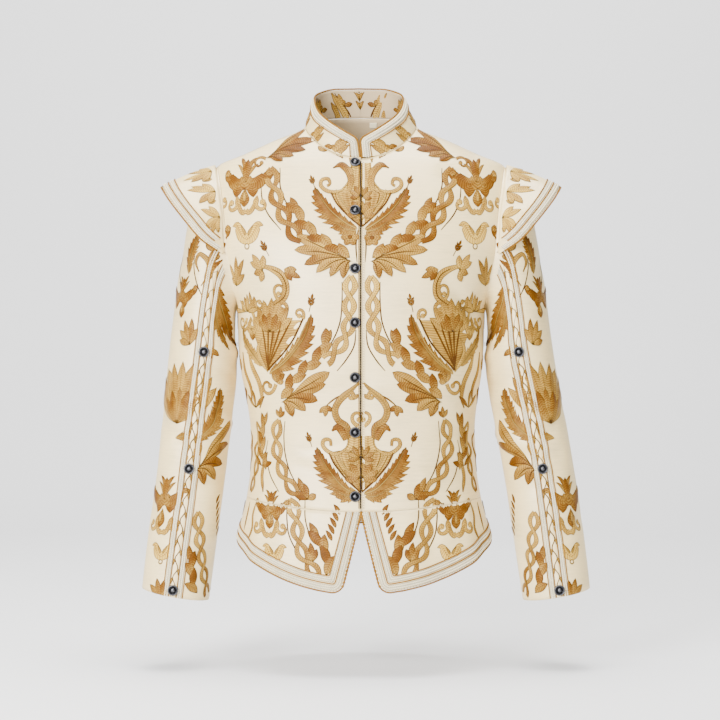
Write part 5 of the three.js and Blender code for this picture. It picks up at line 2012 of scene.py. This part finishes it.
CHEST_PLAIT = ((271, 168), (273, 184), (277, 200), (283, 214), (291, 228), (300, 242))
CHEST_GARLANDS = (
    (garland, ((350, 258), (338, 250), (323, 241), (309, 229), (300, 217), (294, 205)), 26, 13.5, 13.5),
    (spray, ((354, 262), (296, 235), (294, 250), (304, 265), (316, 273), (330, 277), (343, 279)), 16.5, 0.4),
    (guilloche, CHEST_PLAIT, 14.5, 29, 8.6, 0.62),
    (thin_line, ((261, 182), (262, 198), (268, 214), (281, 230))),
    (thin_line, ((280, 168), (280, 184), (284, 198), (291, 210))),
    (spray, ((265, 160), (307, 128), (316, 140), (306, 150), (294, 156), (283, 161)), 15, 0.72),
    (curl, (266, 159), 150, 38, 300, 5.0, 0.6),
    (band, ((318, 118), (326, 128), (333, 140), (335, 151), (343, 158)), 9.5, 0.42),
    (band, ((336, 128), (340, 139), (343, 147), (351, 154)), 8.0, 0.3),
    (cluster, ((324, 152), (318, 146), (323, 143), (328, 147)), 7, 0.55),
)

# Crown, drop, hooks and birds below the shoulder
MEDALLION_COLUMN = (
    (crown, (246, 177), 43),
    (pendant, (245, 188), 27),
    (double_hook, (246, 210), 62, 29),
    (bird_pair, (247, 231), 50),
    (sprig, (269, 256), 118, 21, 0.85),
)

# The large uneven leaf scroll at the side of the chest, down to the waist
SCROLL = ((262, 266), (272, 269), (281, 275), (286, 286), (284, 297), (274, 305), (265, 310))
SIDE_URN_LEFT = ((252, 322), (254, 334), (258, 346), (262, 358), (267, 370))
SIDE_URN_RIGHT = ((303, 320), (296, 334), (288, 347), (279, 359), (269, 371))
SIDE_URN_TOPS = ((262, 326), (268, 322), (275, 320), (283, 320), (291, 321))


def side_urn_rib(x, y):
    """The row of a rib that bends from the side urn's foot to a place on its rim."""
    foot, bend = (268, 369), (0.55 * x + 121, 0.6 * y + 148)
    return band, (foot, bend, (x, y)), 2.6, 0.85, (0.3, 0.8), 1.3


SIDE_PALMETTE = (
    (cluster, ((237, 286), (230, 264), (236, 256), (244, 259), (229, 274), (245, 274)), 9, 0.4),
    (cluster, ((263, 270), (252, 254), (250, 262), (254, 274), (263, 255), (261, 282)), 10, 0.35),
    (band, SCROLL, 11.5, 0.42, (0.5, 0.7)),
    (vein, SCROLL[1:6], 0.5, 1.1, (0.7, 0.7), 1.4),
    (curl, (281, 301), 158, 52, -360, 5.4, 0.35),
    (cluster, ((284, 269), (297, 270), (301, 278), (292, 281), (290, 272)), 9, 0.62),
    (sprig, (309, 312), 75, 21, 0.8),
    (double_hook, (251, 309), 38, 24, 0.45),
    (double_hook, (252, 330), 36, 26, 0.3),
    (leaf, (252, 306), 90, 20, 6, 0, 0.4, 1.2),
    (pendant, (252, 326), 20, 0.55),
    (fan, (270, 332), 88, 46, 7, 120, 14, 0.3, 1.1),
    (fan, (270, 332), 88, 28, 5, 100, 10, 0.55, 1.45),
    (curl, (283, 316), 40, 40, 330, 7.0, 0.5),
    (band, ((258, 300), (252, 310), (254, 322), (262, 330)), 6, 0.2),
    (filled, SIDE_URN_LEFT + SIDE_URN_RIGHT, 0.42, 0.8),
    *[side_urn_rib(*top) for top in SIDE_URN_TOPS],
    (band, ((268, 370), (281, 356), (293, 340), (303, 319)), 2.4, 1.2, (1, 1), 1.5),
    (band, ((270, 374), (285, 359), (297, 343), (307, 322)), 2.4, 0.0, (1, 1), 1.4),
    (curl, (303, 319), 70, 30, 300, 5.4, 0.35),
    (frond, ((270, 373), (284, 363), (297, 348), (306, 333), (311, 314)), 12, 8.5, 0.66, 1.8),
    (cluster, ((248, 312), (240, 300), (247, 294), (255, 299), (236, 311), (259, 309)), 7, 0.2),
    (curl, (247, 318), -100, 44, -320, 4.8, 0.15),
    (curl, (251, 318), -80, 44, 320, 4.8, 0.15),
    (frond, ((262, 366), (253, 354), (246, 342), (243, 328)), 12, 6.5, 0.35),
    (band, ((268, 372), (262, 362), (258, 350), (262, 338)), 7, 0.2),
    (cluster, ((277, 383), (272, 372), (279, 369), (285, 374), (284, 381)), 7.5, 0.55),
    (curl, (276, 384), -110, 54, -330, 6.0, 0.4),
    (band, ((248, 350), (252, 366), (259, 382), (262, 398), (260, 408)), 9, 0.35),
    (band, ((243, 352), (245, 370), (251, 388), (252, 404)), 8.5, 0.5),
    (cluster, ((256, 408), (248, 394), (253, 390), (265, 396)), 7, 0.55),
)

CENTRE_PLAIT = ((351, 276), (349.5, 294), (349, 312), (348, 328), (343, 341), (335, 352), (325, 361))
CENTRE_GUILLOCHE = (
    (guilloche, CENTRE_PLAIT, 13, 27, 7.6, 0.25),
    (thin_line, ((342, 282), (342, 302), (340, 322), (333, 340), (322, 354))),
    (thin_line, ((356, 330), (354, 346), (346, 360), (337, 371))),
    (garland, ((281, 399), (290, 385), (302, 372), (313, 362), (321, 350), (327, 338)), 26, 13.5, 13.5),
    (spray, ((280, 403), (330, 372), (326, 384), (318, 401), (306, 411), (293, 417)), 18.5, 0.55),
    (cluster, ((280, 418), (276, 409), (281, 406), (285, 411)), 6, 0.6),
)

WAIST_PLAIT = ((279, 420), (276, 438), (278, 456), (283, 473), (292, 488), (303, 497))
WAIST_SIDE = (
    (guilloche, WAIST_PLAIT, 13.5, 28, 7.0, 0.45),
    (thin_line, ((285, 421), (284, 440), (286, 458), (291, 474), (300, 489))),
    (thin_line, ((268, 440), (266, 456), (270, 474), (279, 492))),
    (cluster, ((308, 500), (298, 477), (304, 483), (293, 492), (316, 494)), 10, 0.7),
    (garland, ((266, 470), (262, 452), (263, 436), (265, 420)), 26, 10, 11, 0.6),
    (guilloche, ((257, 422), (259, 440), (257, 458), (255, 474), (251, 491)), 11, 25, 6.0, 0.4),
    (band, ((249, 430), (252, 448), (248, 466), (244, 488)), 6.5, 0.6),
    (band, ((264, 462), (262, 476), (263, 492)), 7.5, 0.45),
    (cluster, ((262, 466), (268, 452), (272, 462), (256, 455)), 8, 0.7),
    (frond, ((243, 488), (241, 470), (242, 452), (246, 436)), 10, 6.5, 0.6),
)

PEPLUM_MOTIFS = (
    (guilloche, ((290, 499), (296, 516), (298, 534), (301, 550), (309, 565), (318, 577)), 14, 29, 7.4, 0.45),
    (garland, ((326, 576), (327, 562), (322, 548), (314, 532)), 30, 14, 13, 0.72),
    (cluster, ((313, 562), (304, 548), (310, 542), (317, 549)), 9, 0.65),
    (thin_line, ((287, 501), (287, 520), (290, 538), (303, 563))),
    (thin_line, ((305, 500), (305, 516), (308, 530), (314, 540))),
    *[(leaf, (332 + 2 * i, 541 - 6.5 * i), 122, 17, 6.4, 26, 0.8) for i in range(5)],
    (crown, (271, 505), 31),
    (pendant, (270, 511), 24),
    (double_hook, (269, 533), 50, 27),
    (bird_pair, (274, 551), 38),
    (band, ((257, 500), (253, 514), (252, 528), (247, 542)), 5.5, 0.45),
    (band, ((250, 502), (247, 516), (244, 530)), 5.0, 0.55),
)

# The right half of the front, from the neck to the hem
TORSO_MOTIFS = (
    *UPPER_PALMETTE,
    *CHEST_GARLANDS,
    *MEDALLION_COLUMN,
    *SIDE_PALMETTE,
    *CENTRE_GUILLOCHE,
    *LOWER_PALMETTE,
    *WAIST_SIDE,
    *PEPLUM_MOTIFS,
)

# A sleeve's face, placed where the right sleeve shows it
SLEEVE_MOTIFS = (
    (frond, ((189, 274), (190, 260), (194, 246), (199, 234)), 16, 6.5, 0.65),
    (band, ((201, 286), (208, 274), (208, 262), (200, 254), (196, 262), (199, 272)), 6.5, 0.4),
    (thin_line, ((195, 252), (194, 268), (197, 284), (203, 298))),
    (thin_line, ((183, 256), (180, 272), (184, 290))),
    (crown, (182, 292), 34),
    (pendant, (183, 302), 22),
    (frond, ((216, 286), (220, 304), (226, 324), (236, 346)), 20, 8.5, 0.7),
    (frond, ((215, 300), (216, 318), (221, 334), (229, 350)), 11, 6.5, 0.6),
    (cluster, ((190, 345), (180, 330), (185, 320), (192, 318), (198, 328), (180, 340)), 10, 0.5),
    (cluster, ((208, 348), (214, 349), (219, 356), (212, 359)), 8, 0.65),
    (fan, (177, 424), 90, 86, 9, 96, 18, 0.3, 1.1),
    (fan, (177, 424), 90, 50, 5, 70, 13, 0.55, 1.45),
    (curl, (187, 382), 70, 40, 320, 6.0, 0.3),
    (curl, (170, 384), 110, 40, -320, 6.0, 0.3),
    (frond, ((194, 441), (206, 432), (215, 418), (219, 402), (220, 388)), 18, 8.5, 0.62),
    (frond, ((176, 438), (187, 434), (192, 420)), 10, 4.5, 0.6),
    (curl, (206, 396), 80, 36, -300, 5.0, 0.4),
    (curl, (187, 458), 178, 62, -380, 7.0, 0.35),
    (spray, ((194, 472), (230, 420), (228, 444), (222, 464), (215, 480), (204, 485)), 16.5, 0.58),
    (crown, (165, 494), 38),
    (pendant, (163, 508), 27),
    (double_hook, (162, 530), 48, 27),
    (bird_pair, (162, 550), 38),
    (cluster, ((160, 600), (150, 584), (157, 578), (164, 580), (168, 590)), 9, 0.6),
    (guilloche, ((198, 512), (199, 532), (201, 552), (204, 572), (207, 594)), 12, 26, 6.2, 0.45),
    (garland, ((196, 602), (194, 586), (192, 570), (190, 554)), 26, 12, 12, 0.68),
    *[(leaf, (216, 536 - 6.5 * i), 122, 15, 5.6, 26, 0.8) for i in range(6)],
    (garland, ((206, 286), (210, 272), (213, 258), (214, 244)), 24, 11, 11, 0.6),
)


def beyond_motifs():
    """The repeat's next column, on the panel's side that the front view doesn't show."""
    strokes = []
    for top in (-150, -372):
        place = -232 + 1j * top
        strokes += frond([place - 112j, place - 80j + 4, place - 44j, place], 17, 9.5, 0.5)
        strokes += crown(place + 30j, 40)
        strokes += garland([place - 190j + 6, place - 160j - 6, place - 128j], 27, 13, 13, 0.6)
        strokes += double_hook(place + 66j, 56, 27)
    return strokes


STRIP_REPEAT = 26.0  # length of one wave of the running scroll
STRIP_SWING = 2.6


def sleeve_trim_motifs(length):
    """A running scroll along the strip between a sleeve's braids."""
    downs = np.arange(0, length, STRIP_REPEAT / 8)
    path = [down - 1j * STRIP_SWING * math.cos(down * math.pi / (STRIP_REPEAT / 2)) for down in downs]
    strokes = band(path, 1.5, 0.6)
    for i, down in enumerate(np.arange(0, length - STRIP_REPEAT, STRIP_REPEAT / 2)):
        side = 1 if i % 2 else -1
        strokes += leaf(down + 2j * side, 12 * side, 10, 3.4, -50 * side, 0.45, 1.2)
    return strokes


def wing_motifs():
    """Sprays from the seam out to the braid, along the whole wing."""
    strokes = []
    for i, length in enumerate(np.linspace(-112, 112, 6)):
        lean = 10 if i % 2 else -10
        tips = [length + tip for tip in (lean + 46j, -17 + 38j, 18 + 36j, -20 + 22j, 21 + 20j)]
        strokes += cluster(length + 5j, tips, 11, 0.18)
        strokes += curl(length + 15 + 8j, 30, 24, 280, 3.6, 0.35)
    return strokes


COLLAR_REPEAT = 37.0


def collar_motifs():
    """Long leaning strands and leaves round the collar, below its braid."""
    strokes = []
    for length in np.arange(8, COLLAR_BACK, COLLAR_REPEAT):
        low, high = float(collar_foot(length)), float(neck["top"](collar_angle(length)))
        heights = [lerp(low, high, share) for share in (-0.1, 0.3, 0.62, 0.95)]
        path = [length + out + 1j * height for out, height in zip((33, 27, 17, 4), heights)]
        strokes += band(path, 9.5, 0.3)
        strokes += band([place - 11 for place in path[:3]], 7.5, 0.45)
        strokes += thin_line([place + 6 for place in path])
        strokes += cluster(path[2] + 9 - 4j, [path[3] + 12, path[3] + 20 - 8j, path[2] + 21], 7.5, 0.55)
    return strokes + mirrored(strokes)


# Shares across a stroke and the height of its dome there, for strokes wider than WIDE and for others
WIDE = 6
WIDE_SHARES, WIDE_DOME = np.array([0, 0.19, 0.5, 0.81, 1]), np.array([0, 0.8, 1, 0.8, 0])
NARROW_SHARES, NARROW_DOME = np.array([0, 0.5, 1]), np.array([0, 1, 0])
EDGE_LIFT = 0.14
LAYER_STEP = 1.5  # how far a stroke with a lift of two lies over one with a lift of one
FULL_PILE_WIDTH = 3.2  # a narrower stroke is thinner


def embroider(name, surface, strokes, keep):
    """Raises strokes on a surface as domed strips of thread, where keep allows them."""
    pile = bpy.context.scene.jacket_sizes.pile / MM
    spots, heights, uvs, tones, halves, faces = [], [], [], [], [], []
    count = 0
    for index, stroke in enumerate(strokes):
        width = np.abs(stroke.left - stroke.right)
        if width.max() > WIDE:
            shares, dome = WIDE_SHARES, WIDE_DOME
        else:
            shares, dome = NARROW_SHARES, NARROW_DOME
        places = lerp(stroke.right[:, None], stroke.left[:, None], shares)
        lift = np.broadcast_to(stroke.lift, width.shape)
        thick = np.clip(width / FULL_PILE_WIDTH, 0.35, 1) * pile * np.minimum(lift, 1)
        base = EDGE_LIFT + LAYER_STEP * np.maximum(0, lift - 1) + stroke.rise * np.linspace(0, 1, len(width))
        spots.append(places.ravel())
        heights.append((base[:, None] + dome * thick[:, None]).ravel())
        run = run_of((stroke.left + stroke.right) / 2) + 7.0 * (index % 13)
        uvs.append(np.stack(np.broadcast_arrays(run[:, None], shares), -1).reshape(-1, 2))
        tones.append(np.repeat(stroke.tone + 0.16 * np.linspace(-1, 1, len(width)), len(shares)))
        halves.append(np.repeat(width / 2, len(shares)))
        faces.append(grid_faces(len(width), len(shares)) + count)
        count += places.size
    places = np.concatenate(spots)
    faces = np.concatenate(faces)
    centres = places[faces].mean(1)
    faces = faces[keep(centres.real, centres.imag)]
    used = np.unique(faces)
    order = np.full(count, -1)
    order[used] = np.arange(len(used))
    faces = order[faces]
    points, normals = surface.at(places[used].real, places[used].imag, np.concatenate(heights)[used])
    a, b, d = (points[faces[:, i]] for i in (0, 1, 3))
    backwards = (np.cross(b - a, d - a) * normals[faces[:, 0]]).sum(-1) < 0
    faces[backwards] = faces[backwards][:, ::-1]
    values = {"tone": np.concatenate(tones)[used], "half": np.concatenate(halves)[used]}
    uv = ("thread", np.concatenate(uvs)[used])
    return settle(make_object(name, points, faces.tolist(), ("thread",), uv, values), "gold_embroidery")


STRIP_TOP = 1.0  # how far the strip's middle stands off the sleeve


class StripSurface:
    """The top of the strip between a sleeve's braids, by the length down it and the offset."""

    def __init__(self, side):
        self.side = side
        line = sleeve_line(side, 0.0, steps=400)[0]
        self.run = np.concatenate([[0], np.cumsum(np.linalg.norm(np.diff(line, axis=0), axis=1))])
        self.at_steps = np.linspace(TRIM_FROM, TRIM_TO, 400)

    def at(self, down, offset, lift=0.0):
        return on_trim(self.side, np.interp(down, self.run, self.at_steps), offset, lift + STRIP_TOP)


EDGE_MARGIN = 1.6
TRIM_MARGIN = 20.5  # how far the peplum's pattern stays inside the free edge, for the braids


def in_bodice(sign, faces):
    """Whether chart places lie on one half of the bodice, clear of its edges."""
    def keep(s, z):
        x = np.abs(x_of(s, z))
        angle = np.arcsin(np.minimum(1, x / NECK_HALF_WIDTH)) / DEGREE
        base = neck["base"](angle if faces < 0 else 180 - angle)
        below_neck = (x > NECK_HALF_WIDTH) | (z < base - EDGE_MARGIN)
        edge = np.where(z < ARMPIT_Z, torso["side"](z), armhole["x"](z))
        inside = (x < edge - 0.6) & (np.abs(s) < widest(z) - EDGE_MARGIN)
        near_centre = s * sign > (0.5 if faces < 0 else -0.5)
        return below_neck & inside & near_centre & (z > waist_z(x, faces) + EDGE_MARGIN) & (z < 51)

    return keep


def in_peplum(sign, faces):
    """Whether chart places lie on one half of the peplum, clear of its braids and seams."""
    def keep(s, z):
        x = np.abs(x_of(s, z))
        share = np.minimum(1, x / torso["side"](z))
        angle = np.arcsin(share ** (torso["square"](z) / 2)) / DEGREE
        length = np.interp(angle, peplum_ring.angle, peplum_ring.length)
        foot = hem["z"](angle if faces < 0 else 180 - angle)
        split = lerp(SPLIT_TOP, SPLIT_FOOT, (WAIST_Z - WAIST_DIP - z) / SPLIT_HEIGHT)
        clear = (length > split + TRIM_MARGIN) if faces < 0 else True
        under_waist = z < waist_z(x, faces) - EDGE_MARGIN
        inside = (np.abs(s) < widest(z) - EDGE_MARGIN) & (z > foot + TRIM_MARGIN)
        return inside & under_waist & clear & (s * sign > -0.5)

    return keep


# Where the pattern of the sleeves, their strips, the wings and the collar ends
SLEEVE_PATTERN_Z = (-624, -40)
STRIP_LENGTH = 560
WING_PATTERN_HALF_LENGTH = 138
WING_PATTERN_WIDTH = (3, 52)


def in_sleeve(width, z):
    low, high = SLEEVE_PATTERN_Z
    return (np.abs(width) < sleeve_radius(z) * math.pi / 2 - 0.5) & (z > low) & (z < high)


def in_strip(down, offset):
    return down < STRIP_LENGTH - 5


def in_wing(length, width):
    low, high = WING_PATTERN_WIDTH
    return (np.abs(length) < WING_PATTERN_HALF_LENGTH) & (width < high) & (width > low)


def in_collar(least_length, under_top):
    """Whether chart places lie on the collar, from a length round it on and under its top edge."""
    def keep(length, z):
        top = neck["top"](collar_angle(length)) - under_top
        foot = collar_foot(length) + 1.5
        return (np.abs(length) > least_length) & (z > foot) & (z < top)

    return keep


class JACKET_OT_embroidery(bpy.types.Operator):
    """Work the gold damask motifs over every satin piece"""

    bl_idname = "jacket.embroidery"
    bl_label = "Embroidery"

    def execute(self, context):
        right = worked(front_surface, TORSO_MOTIFS) + beyond_motifs()
        both = {-1: right, 1: mirrored(right)}
        for side, sign in SIDES.items():
            surface = front_surface if sign < 0 else under_surface
            embroider(f"front_{side}_embroidery", surface, both[sign], in_bodice(sign, -1))
            embroider(f"back_{side}_embroidery", back_surface, both[sign], in_bodice(sign, 1))
            embroider(f"peplum_front_{side}_embroidery", front_surface, both[sign], in_peplum(sign, -1))
            embroider(f"peplum_back_{side}_embroidery", back_surface, both[sign], in_peplum(sign, 1))
        sleeve = worked(sleeve_surface["right", -1], SLEEVE_MOTIFS)
        strip = sleeve_trim_motifs(STRIP_LENGTH)
        for side in SIDES:
            for faces, label in ((-1, "front"), (1, "back")):
                embroider(f"sleeve_{side}_{label}_embroidery", sleeve_surface[side, faces], sleeve, in_sleeve)
            embroider(f"sleeve_strip_{side}_embroidery", StripSurface(side), strip, in_strip)
            embroider(f"wing_{side}_embroidery", wing_surface[side], wing_motifs(), in_wing)
        # Outside, the pattern stays below the braid, and inside it shows round the back alone
        embroider("collar_embroidery", collar_surface, collar_motifs(), in_collar(11, 10.5))
        embroider("collar_inside_embroidery", collar_inside, collar_motifs(), in_collar(60, 3))
        return {"FINISHED"}


# The stitched band beside the opening, from the waist to the neck
BAND_X, BAND_HALF_WIDTH = 3.6, 2.1
BAND_Z = (-492, -24)
BAND_STEPS = 160
# Rows along the front edge: its x, the size of a stitch and its finish
EDGE_ROWS = {
    # The dark row stands in for the shadow in the gap where the fronts overlap: a painted shadow
    "painted_shadow_line": (-0.5, (2.9, 2.8, 2.2), "stitch"),
    "gold": (-3.0, (2.8, 1.5, 1.2), "cord"),
}


def edge_stitches(name, line):
    """Small dark stitches close to a free edge."""
    spacing = bpy.context.scene.jacket_sizes.stitch
    grain_rows(name, [laid(line, 0.25, 65)], spacing, EDGE_STITCH, "stitch", "gold_embroidery")


class JACKET_OT_stitching(bpy.types.Operator):
    """Work the edge stitches, the dark row painted as the shadow along the opening, the picots and the band
    beside the buttons
    """

    bl_idname = "jacket.stitching"
    bl_label = "Stitches and Picots"

    def execute(self, context):
        z = np.linspace(*BAND_Z, BAND_STEPS)
        x = np.full(BAND_STEPS, BAND_X)
        offsets = (-BAND_HALF_WIDTH, 0, BAND_HALF_WIDTH)
        lines = [under_surface.at(s_of(x + offset, z), z) for offset in offsets]
        satin_strip("front_edge_band", lines, (0.1, 0.9, 0.1))
        rows = [laid(lines[1], 0.95, 40)]
        grain_rows("front_band_stitches", rows, 3.4 * MM, BAND_STITCH, "cord", "gold_embroidery")
        # The dark row is painted shadow along the opening; the gold row is a stitched edge
        for label, (edge_x, size, finish) in EDGE_ROWS.items():
            line = front_surface.at(s_of(np.full(BAND_STEPS, edge_x), z), z)
            rows = [laid(line, 0.7, 8)]
            grain_rows(f"front_edge_{label}", rows, 2.3 * MM, size, finish, "gold_embroidery")
        edge_stitches("peplum_edge_stitches", peplum_line(0.5))
        for side in SIDES:
            edge_stitches(f"wing_edge_stitches_{side}", wing_line(side, 0.5))
        split = PEPLUM_EDGE.line(-1.4)[:28]
        rows = [laid(on_peplum(sign * split.real, split.imag, -0.6), 0) for sign in (-1, 1)]
        grain_rows("split_picots", rows, 5.2 * MM, PICOT, "cord", "gold_embroidery")
        return {"FINISHED"}


# The paper, in metres: it runs level from before the camera, bends up behind the jacket and stands
PAPER_REACH, PAPER_FRONT, PAPER_BEND_FROM, PAPER_BEND, PAPER_TOP = 9.0, -9.0, 1.9, 1.2, 6.0
WORLD_LIGHT = 0.34
# Each lamp's place, its size in metres, its power in watts and the place it is aimed at
JACKET_MIDDLE = (0, 0, -0.3)
LAMPS = {
    "key": ((-1.3, -2.05, 0.35), 1.0, 165, JACKET_MIDDLE),
    "fill": ((0.45, -2.6, 0.0), 0.8, 46, JACKET_MIDDLE),
    "top": ((0.0, 0.1, 2.2), 1.1, 56, JACKET_MIDDLE),
    "behind": ((0.0, -0.2, 3.2), 2.4, 300, (0, 3.1, 0.2)),
}


def add_lamp(name, place, size, power, target):
    light = bpy.data.lights.new(name, "AREA")
    light.size = size
    light.energy = power
    lamp = bpy.data.objects.new(name, light)
    lamp.location = place
    x, y, z = np.array(target) - np.array(place)
    lamp.rotation_euler = (math.atan2(math.hypot(x, y), -z), 0, math.atan2(y, x) - math.pi / 2)
    bpy.context.scene.collection.objects.link(lamp)


def add_backdrop(floor_z):
    """A sheet of paper that is level under the jacket and stands behind it."""
    turn = np.linspace(-90, 0, 17) * DEGREE
    middle_z = floor_z + PAPER_BEND
    bend = [(PAPER_BEND_FROM + PAPER_BEND * math.cos(t), middle_z + PAPER_BEND * math.sin(t)) for t in turn]
    top = (PAPER_BEND_FROM + PAPER_BEND, floor_z + PAPER_TOP)
    profile = [(PAPER_FRONT, floor_z), *bend, top]
    points = np.array([[(x, y, z) for x in (-PAPER_REACH, PAPER_REACH)] for y, z in profile]) / MM
    faces = grid_faces(len(profile), 2)[:, ::-1].tolist()
    make_object("backdrop", points.reshape(-1, 3), faces, ("paper",))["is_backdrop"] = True


class JACKET_OT_stage(bpy.types.Operator):
    """Set up the pale floor and backdrop, the studio light and the camera"""

    bl_idname = "jacket.stage"
    bl_label = "Stage"

    def execute(self, context):
        low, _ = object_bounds()
        add_backdrop(low.z - context.scene.jacket_sizes.floor_gap)
        world = bpy.data.worlds.new("studio")
        world.use_nodes = True
        background = world.node_tree.nodes["Background"]
        background.inputs["Color"].default_value = (1, 1, 1, 1)
        background.inputs["Strength"].default_value = WORLD_LIGHT
        context.scene.world = world
        for name, settings in LAMPS.items():
            add_lamp(name, *settings)
        data = bpy.data.cameras.new("camera")
        data.sensor_width = SENSOR
        data.lens = SENSOR * -CAMERA[1] / (PHOTO_SIZE * PIXEL)
        camera = bpy.data.objects.new("camera", data)
        camera.location = CAMERA * MM
        camera.rotation_euler = (math.pi / 2, 0, 0)
        context.scene.collection.objects.link(camera)
        context.scene.camera = camera
        return {"FINISHED"}


class JACKET_PT_panel(bpy.types.Panel):
    """Lists the jacket's steps in the 3D view's sidebar"""

    bl_label = "Embroidered Jacket"
    bl_space_type = "VIEW_3D"
    bl_region_type = "UI"
    bl_category = "Jacket"

    def draw(self, context):
        for group in (context.scene.jacket_sizes, context.scene.jacket_colours):
            box = self.layout.box()
            for label in group.bl_rna.properties.keys():
                if label not in ("rna_type", "name"):
                    box.prop(group, label)
        for step in STEPS:
            self.layout.operator(step.bl_idname)


STEPS = (
    JACKET_OT_bodice,
    JACKET_OT_peplum,
    JACKET_OT_sleeves,
    JACKET_OT_wings,
    JACKET_OT_collar,
    JACKET_OT_trims,
    JACKET_OT_buttons,
    JACKET_OT_embroidery,
    JACKET_OT_stitching,
    JACKET_OT_stage,
)
CLASSES = (JacketSizes, JacketColours, *STEPS, JACKET_PT_panel)


def register():
    for each in CLASSES:
        bpy.utils.register_class(each)
    bpy.types.Scene.jacket_sizes = bpy.props.PointerProperty(type=JacketSizes)
    bpy.types.Scene.jacket_colours = bpy.props.PointerProperty(type=JacketColours)


def unregister():
    del bpy.types.Scene.jacket_colours
    del bpy.types.Scene.jacket_sizes
    for each in reversed(CLASSES):
        bpy.utils.unregister_class(each)


def main():
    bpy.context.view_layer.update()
    register()
    for step in STEPS:
        group, name = step.bl_idname.split(".")
        if getattr(getattr(bpy.ops, group), name)() != {"FINISHED"}:
            raise RuntimeError(f"{step.bl_label} did not finish")


if __name__ == "__main__":
    main()
